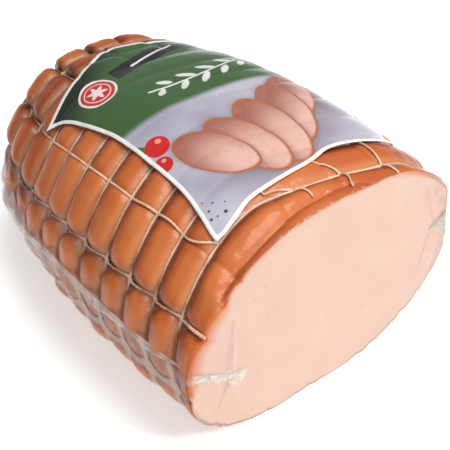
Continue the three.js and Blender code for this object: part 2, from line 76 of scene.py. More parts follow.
# Net: hoops across the roast and strings along it; shifts and fronts are in millimetres
HOOP_SPACING = 0.01823
HOOP_COUNT = 12
FIRST_GROOVE = -0.0002
HOOP_BEND = {"rise": -0.0009, "across": -0.00385, "skew": -0.0054}
BEND_FADE_POWER = 4
FRONT_SHIFTS = {"girth": [60, 75, 86, 93, 105, 115, 124, 133, 142, 153, 164, 175, 182, 225, 245],
                "first": [0, 3.0, 7.0, 8.6, 7.0, 5.0, 3.0, 1.4, 0.5, 1.0, 2.0, 2.4, -6.0, -6.0, 0],
                "second": [-1.0, -1.8, -1.4, -1.2, -2.2, -2.8, -2.3, -0.5, 0, 0, 0, 0, 0, 0, 0]}
SHIFT_SPAN = 6.0
STRING_COUNT = 13
FIRST_STRING = 0.0624
STRING_SHIFTS = np.array([6.5, 0, 0, 5.3, 2.4, 3.8, 1.5, -2, 1, -1.5, 2, -1, 1.5]) / 1000
STRING_TWIST = 0.0011
STRING_STARTS = [0.4, 0.35, 1.0, 1.0, 1.0, 1.0, 0.4, 0.5, 0.7, 0.5, 0.4, 0.6, 0.5]
STRING_FRONTS = {
    0: [(0.8, 66.5), (14, 66.5), (27, 66.5)],
    1: [(4, 92.5), (10, 89.5), (14, 89.5), (17.5, 90.5), (21.5, 93), (25.5, 97), (30.5, 100.5)],
    2: [(10, 111.5), (13, 111.5), (16.5, 112.5), (19.5, 115.5), (21.5, 119), (23, 122.5), (24.5, 127.5)],
    3: [(21.5, 157), (25.5, 161.5), (29, 164), (33.5, 165.5), (38, 165.5), (47, 164.5), (56, 165.5)]}
STRING_STEPS = {4: 0.05, 5: 0.04}
HOOP_RADIUS = {"flank": 0.0004, "top": 0.00062}
STRING_RADIUS = 0.00055
CORD_SINK = {"hoop": {"top": 0.0006, "flank": 0.0001}, "string": {"top": 0.0006, "flank": 0.0007}}

# Pillows of meat between the cords: round-cornered cells, less parted under the strings of the top
PILLOW_DEPTH = {"top": 0.0032, "back": 0.0056, "flank": 0.0062, "bottom": 0.0040}
PILLOW_BELOW = 0.72
PILLOW_ROUNDNESS = {"flank": 0.47, "top": 0.72}
PILLOW_CORNER = 0.0076
PILLOW_VARIETY = 0.12
CORD_BED = 0.0002
STRING_RELIEF = np.array([5.0, 5.0, 4.6, 3.6, 0.2, 0.2, 0, 0, 0, 0, 0.2, 1.5, 4.0]) / 1000
CUT_RELIEF = np.array([0, 0, 0, 0, 1.0, 3.4, 3.2, 3.6, 3.6, 3.6, 3.6, 2.5, 0]) / 1000
FIRST_RELIEF = {"girth": [0, 88, 104, 166, 176, 190, 215, 240],
                "relief": [5.5, 5.0, 0, 0, 1.6, 1.6, 3.0, 4.5]}
FRONT_BAND_RISE = 2.2
POLE_FADE = {"start": 0.82, "least": 0.15}
LAST_HOOP = 13.0

# Spans over which the pillows change: cells count hoops from the cut, rises are a direction's upward share
TOP_RISES = (0.2, 0.9)
BOTTOM_RISES = (-0.8, -0.3)
FIRST_CELLS = (0.35, 0.6)
CUT_CELLS = (0.55, 1.3)
BACK_CELLS = (7.6, 9.2)

# Tables, fitting and random numbers
TABLE_STEPS = 2000
TABLE_POWER = 6
INVERSE_ROUNDS = 14
SEED = 11
RIPPLE_WAVES = 9
CELL_ROWS = HOOP_COUNT + 4


def lerp(a, b, t):
    return a + (b - a) * t


def smoothstep(value, low, high):
    """0 below low and 1 above high, smooth between."""
    t = np.clip((value - low) / (high - low), 0, 1)
    return t * t * (3 - 2 * t)


def fall(value, low, high):
    """1 below low and 0 above high, smooth between."""
    return 1 - smoothstep(value, low, high)


def window(value, low, high, last, end):
    """1 from high to last, and 0 below low and above end."""
    return smoothstep(value, low, high) * fall(value, last, end)


def bell(value, middle, spread):
    return np.exp(-((value - middle) / spread) ** 2)


def signed_power(value, power):
    return np.sign(value) * np.abs(value) ** power


def travelled(path):
    """Distance along a path at each of its points."""
    return np.concatenate([[0], np.cumsum(np.linalg.norm(np.diff(path, axis=0), axis=1))])


def oval_quarter(right, above):
    """Power and height of the oval's quarter that a place is in."""
    upper = np.where(right, OVAL_POWER["top_right"], OVAL_POWER["top_left"])
    lower = np.where(right, OVAL_POWER["bottom_right"], OVAL_POWER["bottom_left"])
    return np.where(above, upper, lower), np.where(above, FACE_HEIGHT - WIDEST_LEVEL, WIDEST_LEVEL)


def face_point(angle, bulge_size=RIGHT_BULGE["size"]):
    """x and z on the cut face's outline at an angle, anticlockwise from the right side."""
    cosine, sine = np.cos(angle), np.sin(angle)
    power, reach = oval_quarter(cosine > 0, sine > 0)
    rise = reach * signed_power(sine, 2 / power)
    from_bulge = np.mod(angle - RIGHT_BULGE["turn"] + math.pi, 2 * math.pi) - math.pi
    bulge = bulge_size * bell(from_bulge, 0, RIGHT_BULGE["spread"])
    x = FACE_SHIFT + HALF_WIDTH * signed_power(cosine, 2 / power) + LEAN * rise + bulge
    return x, WIDEST_LEVEL + rise


def closing(share, shape):
    return (1 - share ** shape["power"]) ** (1 / shape["root"])


def width_share(y):
    share = np.clip(y / LENGTH, 0, 1)
    swell = 1 + WIDTH_SWELL * np.sin(math.pi * np.minimum(share / SWELL_SPAN, 1))
    return swell * closing(share, WIDTH_CLOSING)


def height_share(y):
    share = np.clip(y / LENGTH, 0, 1)
    swell = 1 + HEIGHT_SWELL * np.sin(math.pi * np.minimum(share / SWELL_SPAN, 1)) + HEIGHT_RISE * share
    return swell * closing(share, HEIGHT_CLOSING)


def section_shift(y):
    """How far the body's section at y stands to the right and up."""
    lift = POLE_LIFT * MIDDLE_LEVEL * np.clip(1 - height_share(y), 0, 1)
    return DRIFT["linear"] * y + DRIFT["square"] * y * y, lift


def body_point(y, angle):
    """Points of the bare body, without its pillows."""
    y, angle = np.broadcast_arrays(np.asarray(y, float), np.asarray(angle, float))
    x, z = face_point(angle)
    drift, lift = section_shift(y)
    return np.stack([drift + x * width_share(y), y, z * height_share(y) + lift], -1)


def unit(vectors):
    return vectors / np.linalg.norm(vectors, axis=-1, keepdims=True)


def body_normal(y, angle):
    step, turn = 0.00002, 0.02
    near = np.clip(y, step, LENGTH - 2 * step)
    along = body_point(near + step, angle) - body_point(near - step, angle)
    around = body_point(near, angle + turn) - body_point(near, angle - turn)
    return unit(np.cross(along, around))


# Tables that turn lengths along a curve into its parameter; girth is taken along the oval without its bulge
TABLE_ANGLES = np.linspace(0, 2 * math.pi, TABLE_STEPS + 1)
OUTLINE = np.stack(face_point(TABLE_ANGLES, 0.0), -1)
GIRTH_TABLE = travelled(OUTLINE)
GIRTH = GIRTH_TABLE[-1]
STRING_SPACING = GIRTH / STRING_COUNT
TABLE_Y = LENGTH * (1 - (1 - np.linspace(0, 1, TABLE_STEPS + 1)) ** TABLE_POWER)
MEAN_SHARE = (width_share(TABLE_Y) + height_share(TABLE_Y)) / 2
BACK_TABLE = travelled(np.stack([TABLE_Y, MEAN_RADIUS * MEAN_SHARE], -1))
BACK_LENGTH = BACK_TABLE[-1]


def angle_at_girth(girth):
    return np.interp(np.mod(girth, GIRTH), GIRTH_TABLE, TABLE_ANGLES)


def girth_mm(girth):
    """A girth in millimetres within one turn."""
    return np.mod(girth, GIRTH) * 1000


def hoop_bend(angle):
    """How far a hoop bows back from a flat plane at an angle."""
    x, z = face_point(angle)
    turn = np.arctan2(z - MIDDLE_LEVEL, x)
    bend = HOOP_BEND["rise"] * np.sin(turn) + HOOP_BEND["across"] * np.cos(2 * turn)
    return bend + HOOP_BEND["skew"] * np.sin(2 * turn)


STRING_GIRTHS = FIRST_STRING + np.arange(STRING_COUNT) * STRING_SPACING + STRING_SHIFTS
STRING_TABLE = np.concatenate([STRING_GIRTHS - GIRTH, STRING_GIRTHS, STRING_GIRTHS + GIRTH])
STRING_INDEX = np.arange(-STRING_COUNT, 2 * STRING_COUNT)


def girth_of(hoop, string):
    return np.interp(string, STRING_INDEX, STRING_TABLE) + STRING_TWIST * np.maximum(hoop - 1, 0)


def back_fade(length):
    """Share of a hoop's bend that is left at a distance along the back."""
    return 1 - np.clip(length / BACK_LENGTH, 0, 1) ** BEND_FADE_POWER


def eased(place, stations, values, span):
    """Values between stations, averaged over a span so that they turn without corners."""
    steps = np.linspace(-0.5, 0.5, 9)
    return np.mean([np.interp(place + span * step, stations, values) for step in steps], axis=0)


def along_route(route, share, span, stations=None):
    """Places at shares of a route, averaged over a span that shrinks to nothing at both ends."""
    stations = np.linspace(0, 1, len(route)) if stations is None else stations
    span = np.minimum(span, 2 * np.minimum(share, 1 - share))
    return [eased(share, stations, values, span) for values in np.transpose(route)]


def front_shift(hoop, girth):
    """How far the first two hoops lie behind their even spacing; at the left the first runs off the cut."""
    place = girth_mm(girth)
    first, second = (eased(place, FRONT_SHIFTS["girth"], FRONT_SHIFTS[name], SHIFT_SPAN)
                     for name in ("first", "second"))
    return (first * np.clip(1 - hoop, 0, 1) + second * np.clip(1 - np.abs(hoop - 1), 0, 1)) / 1000


def net_place(hoop, string):
    """y and angle on the body at net coordinates, which count cells behind the cut and round the girth."""
    hoop, string = np.broadcast_arrays(np.asarray(hoop, float), np.asarray(string, float))
    girth = girth_of(hoop, string)
    angle = angle_at_girth(girth)
    length = FIRST_GROOVE + hoop * HOOP_SPACING
    bent = length + back_fade(length) * hoop_bend(angle) + front_shift(hoop, girth)
    return np.where(bent <= 0, bent, np.interp(bent, BACK_TABLE, TABLE_Y)), angle


def net_coordinates(y, girth):
    """Hoop and string coordinates at a distance behind the cut and a girth: the inverse of net_place."""
    angle = angle_at_girth(girth)
    bent = np.where(y <= 0, y, np.interp(y, TABLE_Y, BACK_TABLE))
    length = bent
    for _ in range(INVERSE_ROUNDS):
        hoop = (length - FIRST_GROOVE) / HOOP_SPACING
        length = bent - back_fade(length) * hoop_bend(angle) - front_shift(hoop, girth)
    hoop = (length - FIRST_GROOVE) / HOOP_SPACING
    own_girth = girth - STRING_TWIST * np.maximum(hoop - 1, 0)
    return hoop, np.interp(own_girth, STRING_TABLE, STRING_INDEX)


# Smooth random fields: sums of sine waves in seeded directions
def ripple(points, wavelength, seed):
    """A smooth random number at each point, mostly from -1 to 1."""
    rng = np.random.default_rng(SEED * 1000 + seed)
    directions = unit(rng.normal(size=(RIPPLE_WAVES, 3)))
    lengths = wavelength * rng.uniform(0.75, 1.35, RIPPLE_WAVES)
    phases = rng.uniform(0, 2 * math.pi, RIPPLE_WAVES)
    total = np.zeros(points.shape[:-1])
    for direction, length, phase in zip(directions, lengths, phases):
        total += np.sin(points @ direction * (2 * math.pi / length) + phase)
    return total / math.sqrt(RIPPLE_WAVES)


def waves(points, table):
    """The sum of ripples that are given by their height, wavelength and seed."""
    return sum(height * ripple(points, wavelength, seed) for height, wavelength, seed in table)


CELL_RANDOM = np.random.default_rng(SEED).uniform(-1, 1, (CELL_ROWS, STRING_COUNT))


def cell_variation(hoop, string):
    row = np.clip(np.floor(hoop).astype(int) + 1, 0, CELL_ROWS - 1)
    return CELL_RANDOM[row, np.mod(np.floor(string).astype(int), STRING_COUNT)]


def cell_edges(hoop, string):
    """Distance in from a cell's round-cornered edge, and how far that edge cuts its corner."""
    part = hoop - np.floor(hoop)
    girth = girth_mm(np.interp(string, STRING_INDEX, STRING_TABLE))
    run_off = eased(girth, FIRST_RELIEF["girth"], FIRST_RELIEF["relief"], SHIFT_SPAN) / 1000
    from_hoop = np.minimum(part, 1 - part) * HOOP_SPACING * np.where(hoop < 0, FRONT_BAND_RISE, 1)
    from_hoop = from_hoop + run_off * fall(np.abs(hoop), *FIRST_CELLS)
    first = np.floor(string)
    part = string - first
    place = np.mod(first.astype(int), STRING_COUNT)
    held = fall(hoop, *BACK_CELLS)
    near_cut = fall(hoop, *CUT_CELLS)
    before, after = (held * STRING_RELIEF[at] + near_cut * CUT_RELIEF[at]
                     for at in (place, (place + 1) % STRING_COUNT))
    before = before + part * STRING_SPACING
    after = after + (1 - part) * STRING_SPACING
    from_string = np.minimum(before, after)
    short = [np.maximum(PILLOW_CORNER - away, 0) for away in (from_hoop, from_string)]
    inward = np.minimum(PILLOW_CORNER - np.hypot(*short), np.minimum(from_hoop, from_string))
    return inward, np.hypot(*short) - np.maximum(*short)


def cell_swell(hoop, string, roundness):
    """A pillow's swell over its cell: 0 in the cords' bed, 1 along the middle."""
    inward, _ = cell_edges(hoop, string)
    rise = np.clip((inward - CORD_BED) / (HOOP_SPACING / 2 - CORD_BED), 0, 1)
    return (1 - (1 - rise) ** 2) ** roundness


def relief(hoop, string, normal):
    """Pillow depth and swell at net coordinates; the meat stands pillow_height off the body."""
    at_top = smoothstep(normal[..., 2], *TOP_RISES)
    behind = smoothstep(hoop, *BACK_CELLS)
    top = lerp(PILLOW_DEPTH["top"], PILLOW_DEPTH["back"], behind)
    fade = lerp(1, POLE_FADE["least"], smoothstep(hoop * HOOP_SPACING / BACK_LENGTH, POLE_FADE["start"], 1))
    depth = lerp(PILLOW_DEPTH["flank"], top, at_top)
    depth = lerp(depth, PILLOW_DEPTH["bottom"], fall(normal[..., 2], *BOTTOM_RISES)) * fade
    roundness = lerp(PILLOW_ROUNDNESS["flank"], PILLOW_ROUNDNESS["top"], at_top * (1 - behind))
    swell = cell_swell(hoop, string, roundness) * (1 + PILLOW_VARIETY * cell_variation(hoop, string))
    return depth, swell


def pillow_height(depth, swell):
    return depth * (swell - PILLOW_BELOW)


def surface(hoop, string):
    """Bare body point, normal, pillow depth and swell at net coordinates."""
    y, angle = net_place(hoop, string)
    normal = body_normal(y, angle)
    depth, swell = relief(hoop, string, normal)
    return body_point(y, angle), normal, depth, swell


def raised(point, normal, height):
    return point + normal * np.asarray(height)[..., None]


# Objects and meshes
def new_object(name, data):
    thing = bpy.data.objects.new(name, data)
    bpy.context.scene.collection.objects.link(thing)
    return thing


def mesh_object(name, points, faces, material):
    mesh = bpy.data.meshes.new(name)
    mesh.from_pydata((np.asarray(points) + ORIGIN).tolist(), [], faces)
    mesh.polygons.foreach_set("use_smooth", [True] * len(mesh.polygons))
    mesh.materials.append(material)
    mesh.validate()
    return new_object(name, mesh)


def add_attribute(piece, name, *parts):
    """Gives each point of a piece a number; the parts follow each other in the order of the points."""
    values = np.concatenate([np.ravel(part) for part in parts])
    attribute = piece.data.attributes.new(name, "FLOAT", "POINT")
    attribute.data.foreach_set("value", values.astype(np.float32))


def grid_faces(rows, columns, wrap):
    """Quads of a grid whose rows follow each other; wrap closes each row on itself."""
    spans = columns if wrap else columns - 1
    i, j = np.meshgrid(np.arange(rows - 1), np.arange(spans), indexing="ij")
    other = (j + 1) % columns
    quads = [i * columns + j, (i + 1) * columns + j, (i + 1) * columns + other, i * columns + other]
    return np.stack(quads, -1).reshape(-1, 4).tolist()


def fan_faces(centre, first, count, flipped):
    faces = []
    for k in range(count):
        pair = (first + k, first + (k + 1) % count)
        faces.append((centre, pair[1], pair[0]) if flipped else (centre, pair[0], pair[1]))
    return faces


def border_faces(rows, columns):
    """Quads round the border of a sheet whose far side's points follow its near side's."""
    count = rows * columns
    ids = np.arange(count).reshape(rows, columns)
    edge = np.concatenate([ids[0, :-1], ids[:-1, -1], ids[-1, :0:-1], ids[:0:-1, 0]])
    return [(int(a), int(b), int(b) + count, int(a) + count) for a, b in zip(edge, np.roll(edge, -1))]


def sheet_object(name, near, far, material):
    """A thin sheet, from the grids of its two sides."""
    rows, columns = near.shape[:2]
    upper = np.array(grid_faces(rows, columns, False))
    faces = upper.tolist() + (upper[:, ::-1] + rows * columns).tolist() + border_faces(rows, columns)
    return mesh_object(name, np.concatenate([near.reshape(-1, 3), far.reshape(-1, 3)]), faces, material)


def cap_faces(rows, columns, rings):
    """Faces of the cut's disc, whose rings come after the grid, and of the pole; the centres come last."""
    first = rows * columns
    faces = []
    for ring in range(rings):
        outer = 0 if ring == 0 else first + (ring - 1) * columns
        inner = first + ring * columns
        for k in range(columns):
            other = (k + 1) % columns
            faces.append((outer + k, outer + other, inner + other, inner + k))
    middle = first + rings * columns
    faces += fan_faces(middle, first + (rings - 1) * columns, columns, False)
    faces += fan_faces(middle + 1, first - columns, columns, True)
    return faces


def shell_object(name, skin, rings, centre, material):
    """A closed body, from the grid of its skin and the rings and the centre of its cut face."""
    rows, columns = skin.shape[:2]
    pole = skin[-1].mean(0)
    points = np.concatenate([skin.reshape(-1, 3), rings.reshape(-1, 3), [centre, pole]])
    faces = grid_faces(rows, columns, True) + cap_faces(rows, columns, len(rings))
    return mesh_object(name, points, faces, material)


# Samples of one cell, closer together beside its cords
CELL_WARP = 0.6


def cell_samples(steps):
    t = np.arange(steps) / steps
    return t - CELL_WARP * np.sin(2 * math.pi * t) / (2 * math.pi)


# Node helpers
def colour(red, green, blue):
    """A colour as seen on screen, from 0 to 255, in Blender's linear units."""
    values = [channel / 255 for channel in (red, green, blue)]
    linear = [v / 12.92 if v <= 0.04045 else ((v + 0.055) / 1.055) ** 2.4 for v in values]
    return (*linear, 1.0)


def feed(tree, value, slot):
    """Puts a field, a socket or a plain value on a node's input."""
    if isinstance(value, Field):
        value = value.socket
    if isinstance(value, bpy.types.NodeSocket):
        tree.links.new(value, slot)
    else:
        slot.default_value = value


class Field:
    """A number that varies over a surface, worked out by Math nodes."""

    def __init__(self, tree, socket):
        self.tree = tree
        self.socket = socket

    def math(self, operation, *values):
        node = self.tree.nodes.new("ShaderNodeMath")
        node.operation = operation
        for slot, value in zip(node.inputs, values):
            feed(self.tree, value, slot)
        return Field(self.tree, node.outputs[0])

    def __add__(self, other):
        return self.math("ADD", self, other)

    def __sub__(self, other):
        return self.math("SUBTRACT", self, other)

    def __rsub__(self, other):
        return self.math("SUBTRACT", other, self)

    def __mul__(self, other):
        return self.math("MULTIPLY", self, other)

    def power(self, exponent):
        return self.math("POWER", self, exponent)

    def absolute(self):
        return self.math("ABSOLUTE", self)

    def least(self, other):
        return self.math("MINIMUM", self, other)

    def most(self, other):
        return self.math("MAXIMUM", self, other)

    def step(self, low, high):
        """0 below low and 1 above high, smooth between; the other way round if low is the larger."""
        node = self.tree.nodes.new("ShaderNodeMapRange")
        node.interpolation_type = "SMOOTHSTEP"
        values = (self, min(low, high), max(low, high), float(low > high), float(low < high))
        for name, value in zip(("Value", "From Min", "From Max", "To Min", "To Max"), values):
            feed(self.tree, value, node.inputs[name])
        return Field(self.tree, node.outputs["Result"])


class Paint:
    """A material under construction, with its Principled shader."""

    def __init__(self, name, **uniform):
        self.material = bpy.data.materials.new(name)
        self.material.use_nodes = True
        self.tree = self.material.node_tree
        self.shader = self.tree.nodes["Principled BSDF"]
        for socket, value in uniform.items():
            self.shader.inputs[socket.replace("_", " ")].default_value = value

    def node(self, kind, **inputs):
        """A new node with a value, a field or a socket on each of its named inputs."""
        node = self.tree.nodes.new("ShaderNode" + kind)
        for name, value in inputs.items():
            feed(self.tree, value, node.inputs[name])
        return node

    def attribute(self, name):
        node = self.node("Attribute")
        node.attribute_name = name
        return Field(self.tree, node.outputs["Fac"])

    def place(self):
        return self.node("TexCoord").outputs["Object"]

    def face_place(self):
        """Places on the cut face in millimetres, across and up."""
        node = self.node("SeparateXYZ", Vector=self.place())
        across, up = (Field(self.tree, node.outputs[axis]) for axis in ("X", "Z"))
        return (across - SIDE_SHIFT) * 1000, up * 1000

    def noise(self, size, detail=2.0, stretch=(1, 1, 1)):
        """Noise from 0 to 1 with features of a size in metres."""
        place = self.node("Mapping", Scale=stretch, Vector=self.place()).outputs["Vector"]
        node = self.node("TexNoise", Scale=1 / size, Detail=detail, Vector=place)
        return Field(self.tree, node.outputs["Fac"])

    def specks(self, size):
        """Distance from the nearest of many scattered points, as a share of their spacing."""
        node = self.node("TexVoronoi", Scale=1 / size, Vector=self.place())
        return Field(self.tree, node.outputs["Distance"])

    def ramp(self, field, *stops):
        node = self.node("ValToRGB", Fac=field)
        node.color_ramp.interpolation = "EASE"
        elements = node.color_ramp.elements
        while len(elements) < len(stops):
            elements.new(0.5)
        for element, (position, value) in zip(elements, stops):
            element.position = position
            element.color = value
        return node.outputs["Color"]

    def mix(self, factor, first, second):
        node = self.node("Mix", Factor=factor)
        node.data_type = "RGBA"
        for slot, value in zip((slot for slot in node.inputs if slot.type == "RGBA"), (first, second)):
            feed(self.tree, value, slot)
        return next(output for output in node.outputs if output.type == "RGBA")

    def set(self, socket, value):
        feed(self.tree, value, self.shader.inputs[socket])

    def base(self, value):
        self.set("Base Color", value)

    def bump(self, field, height, slot="Normal"):
        self.set(slot, self.node("Bump", Distance=height, Height=field).outputs["Normal"])


# Camera, at the photograph's viewing angle
CAMERA_AZIMUTH = math.radians(-42.339)
CAMERA_ELEVATION = math.radians(36.222)
CAMERA_DISTANCE = 0.8234
CAMERA_TARGET = (-0.01258, 0.05333, 0.06571)
CAMERA_LENS = 144
SENSOR_WIDTH = 36

# Floor and sky, and lights by their name, place, size and power
FLOOR_REACH = 3.0
FLOOR_GLOW = 0.51
FLOOR_TINT = (0.94, 1.0, 1.0, 1.0)
SKY_TINT = (0.95, 0.97, 1.0, 1.0)
SKY_STRENGTH = 0.28
LIGHTS = [("key", (0.30, -1.15, 0.95), 0.35, 10.8), ("top", (0.15, -0.25, 1.5), 1.0, 14.5),
          ("fill", (-0.6, -1.1, 0.8), 0.4, 1.2)]


def make_camera():
    data = bpy.data.cameras.new("camera")
    data.lens = CAMERA_LENS
    data.sensor_width = SENSOR_WIDTH
    camera = new_object("camera", data)
    level = math.cos(CAMERA_ELEVATION)
    across, along = math.sin(CAMERA_AZIMUTH) * level, -math.cos(CAMERA_AZIMUTH) * level
    back = Vector((across, along, math.sin(CAMERA_ELEVATION)))
    camera.location = Vector(CAMERA_TARGET) + Vector(ORIGIN) + back * CAMERA_DISTANCE
    camera.rotation_euler = back.to_track_quat("Z", "Y").to_euler()
    bpy.context.scene.camera = camera


def make_light(name, place, size, power):
    data = bpy.data.lights.new(name, "AREA")
    data.shape = "DISK"
    data.size = size
    data.energy = power
    lamp = new_object(name, data)
    lamp.location = place
    lamp.rotation_euler = Vector(place).to_track_quat("Z", "Y").to_euler()


def make_stage():
    paint = Paint("floor_white", Roughness=0.6, Emission_Strength=FLOOR_GLOW, Emission_Color=FLOOR_TINT)
    paint.base(colour(244, 244, 244))
    mesh = bpy.data.meshes.new("floor")
    corners = [(x * FLOOR_REACH, y * FLOOR_REACH, 0) for x, y in ((-1, -1), (1, -1), (1, 1), (-1, 1))]
    mesh.from_pydata(corners, [], [(0, 1, 2, 3)])
    mesh.materials.append(paint.material)
    floor = new_object("floor", mesh)
    for light in LIGHTS:
        make_light(*light)
    world = bpy.data.worlds.new("studio")
    world.use_nodes = True
    sky = world.node_tree.nodes["Background"]
    sky.inputs["Color"].default_value = SKY_TINT
    sky.inputs["Strength"].default_value = SKY_STRENGTH
    bpy.context.scene.world = world
    bpy.context.scene.view_settings.view_transform = "Standard"


# Meat; ripples are given by their height, wavelength and seed
COLUMN_STEPS = 20
ROW_STEPS = 14
FRONT_STEPS = 20
EDGE_ROUNDING = 0.0012
EDGE_ROWS = np.array([0, 0.1, 0.3, 0.6]) * 0.002
FACE_RINGS = 16
NOTCH_REACH = 0.0085
NOTCH_RINGS = 12
NOTCH_POWER = 1.5
SKIN_RIPPLES = [(0.00022, 0.016, 1), (0.00009, 0.005, 2)]
GROOVE_RIPPLE = 0.4
FACE_RIPPLES = [(0.00012, 0.03, 5), (0.00005, 0.006, 6)]
FACE_START = (0, 0.006)
HALVINGS = 24

# Small dents in the cut's lower edge, by their girth, depth and width in millimetres
EDGE_NICKS = [(253, 1.2, 2.2), (312, 1.0, 2.0), (343.5, 1.1, 2.2), (375, 1.3, 2.2)]
NICK_REACH = (0.001, 0.006)

# Where the browned skin fades into the cut face, and the thin browned line along the cut's lower edge
SHARP_BORDER = 0.0005
WIDE_BORDER = 0.004
BORDER_POWER = 1.3
LEFT_BORDER = {"more": 0.0080, "x": (-0.066, -0.055), "z": (0.030, 0.046, 0.078, 0.090)}
RIGHT_BORDER = {"more": 0.0022, "x": (0.030, 0.060), "z": (0.070, 0.090)}
SKIN_START = (0.0002, 0.0009)
EDGE_LINE = {"low": (0.014, 0.030), "right": (0.058, 0.070), "at_right": 0.7, "skin": (0.0001, 0.0007),
             "face": 0.0010}

# Painted shade and light on the skin, with real browning in the grooves: strengths, and the parts of a cell,
# cells, rises or places that they ease over
GROOVE_SHADE = {"top": 0.55, "rises": (0.35, 0.75)}
REAR_SHADE = {"most": 0.66, "part": (0.48, 0.90), "top": 0.65, "front_band": 0.35}
LIT_SLOPE = {"shade": 0.4, "part": (0.12, 0.45), "pale_part": (0.08, 0.30), "cells": (0.9, 1.0)}
FRONT_SHADE = {"groove": 0.36, "band": 0.02, "band_cells": (-0.08, 0), "rises": (0.15, 0.45),
               "cells": (0.25, 0.6)}
BACK_SHADE = {"middle": 0.03, "edge": 0.62, "swells": (0.72, 1.02), "cells": (6.8, 10.0)}
BELLY_PALING = {"most": 0.5, "rises": (-0.35, 0.05)}
RIGHT_SHADE = {"top": (0.10, (0, 0.03)), "end": (0.30, (0.040, 0.066)), "edge": (0.24, (0.045, 0.065))}
RIGHT_END_CELLS = (0.8, 1.2)
RIGHT_EDGE_REACH = (0.002, 0.012)


def net_columns(steps):
    return (np.arange(STRING_COUNT)[:, None] + cell_samples(steps)[None, :]).ravel()


def cut_hoops(strings):
    """The hoop coordinate where each column meets the cut face."""
    low, high = np.full_like(strings, -1.0), np.ones_like(strings)
    for _ in range(HALVINGS):
        middle = (low + high) / 2
        behind = net_place(middle, strings)[0] > 0
        low, high = np.where(behind, low, middle), np.where(behind, middle, high)
    return (low + high) / 2


def net_rows(strings, row_steps):
    """Hoop coordinates of every row and column, from the cut face to the pole."""
    start = cut_hoops(strings)
    edge = start + EDGE_ROWS[:, None] / HOOP_SPACING
    span = np.linspace(0, 1, FRONT_STEPS, endpoint=False)[:, None]
    front = lerp(start + EDGE_ROUNDING / HOOP_SPACING, 1, span)
    cells = (np.arange(1, int(LAST_HOOP))[:, None] + cell_samples(row_steps)[None, :]).ravel()
    behind = np.repeat(cells[:, None], len(strings), axis=1)
    return np.concatenate([edge, front, behind])


def edge_nicks(y, girth):
    dents = sum(depth * bell(girth_mm(girth), at, width) for at, depth, width in EDGE_NICKS)
    return dents / 1000 * fall(y, *NICK_REACH)


def edge_inset(y):
    """How far the cut's rounded edge draws the surface in."""
    short = EDGE_ROUNDING - np.clip(y, 0, EDGE_ROUNDING)
    return EDGE_ROUNDING - np.sqrt(np.maximum(EDGE_ROUNDING ** 2 - short ** 2, 0))


def edge_weight(points):
    """1 where the cut's edge shows a thin browned line: along its lower part and at its right."""
    low = fall(points[..., 2], *EDGE_LINE["low"])
    return np.maximum(low, EDGE_LINE["at_right"] * smoothstep(points[..., 0], *EDGE_LINE["right"]))


def skin_shade(skin, hoops, rise, swell):
    """Painted light of the browned skin, from 0 to 1: darker in the grooves from browning and painted shade,
    and darker as painted shade on the rear slopes, at the back and at the right; and a second value, 1 along
    the lit front slopes of the pillows.
    """
    deep = np.maximum(fall(rise, *GROOVE_SHADE["rises"]), smoothstep(hoops, *BACK_CELLS))
    part = hoops - np.floor(hoops)
    # painted shade: each pillow's rear slope, turned from the light, is darker
    rear = smoothstep(part, *REAR_SHADE["part"]) * REAR_SHADE["most"] * lerp(REAR_SHADE["top"], 1, deep)
    rear = rear * np.where(hoops < 0, REAR_SHADE["front_band"], 1)
    # painted shade: the pillows at the back are darker, most at their edges
    back = lerp(BACK_SHADE["edge"], BACK_SHADE["middle"], smoothstep(swell, *BACK_SHADE["swells"]))
    back = back * smoothstep(hoops, *BACK_SHADE["cells"])
    # grooves darker from browning and painted shade, less so at the cut's front band, underneath and on the
    # lit front slopes
    front = lerp(FRONT_SHADE["groove"], FRONT_SHADE["band"], fall(hoops, *FRONT_SHADE["band_cells"]))
    at_front = smoothstep(rise, *FRONT_SHADE["rises"]) * fall(hoops, *FRONT_SHADE["cells"])
    groove = (1 - np.clip(swell, 0, 1)) * lerp(GROOVE_SHADE["top"], 1, deep) * lerp(1, front, at_front)
    groove = groove * (1 - BELLY_PALING["most"] * fall(rise, *BELLY_PALING["rises"]))
    groove = groove * lerp(1, LIT_SLOPE["shade"], fall(part, *LIT_SLOPE["part"]))
    # painted shade: darker at the top's right, at the right end and by the cut's right edge
    top, end, edge = (most * smoothstep(skin[..., 0], *span) for most, span in RIGHT_SHADE.values())
    right = top + end * smoothstep(hoops, *RIGHT_END_CELLS)
    edge = edge * fall(skin[..., 1], *RIGHT_EDGE_REACH)
    light = (1 - groove) * (1 - rear) * (1 - back) * (1 - right) * (1 - edge)
    return light, fall(part, *LIT_SLOPE["pale_part"]) * smoothstep(hoops, *LIT_SLOPE["cells"])


def meat_grid():
    """Grid of the skin's points, with their painted shade and where the lit front slopes lie."""
    strings = net_columns(COLUMN_STEPS)
    hoops = net_rows(strings, ROW_STEPS)
    point, normal, depth, swell = surface(hoops, strings[None, :])
    rough = waves(point, SKIN_RIPPLES) * lerp(GROOVE_RIPPLE, 1, np.clip(swell, 0, 1))
    nicks = edge_nicks(point[..., 1], girth_of(hoops, strings[None, :]))
    height = pillow_height(depth, swell) + rough - nicks - edge_inset(point[..., 1])
    skin = raised(point, normal, height)
    skin[0, :, 1] = 0
    skin[..., 2] = np.maximum(skin[..., 2], 0)
    return skin, *skin_shade(skin, hoops, normal[..., 2], swell)


def soft_border(points):
    """Width over which the browned edge fades into the cut face: wide at its upper left and upper right."""
    left = fall(points[..., 0], *LEFT_BORDER["x"]) * window(points[..., 2], *LEFT_BORDER["z"])
    right = smoothstep(points[..., 0], *RIGHT_BORDER["x"]) * smoothstep(points[..., 2], *RIGHT_BORDER["z"])
    return SHARP_BORDER + left * LEFT_BORDER["more"] + right * RIGHT_BORDER["more"]


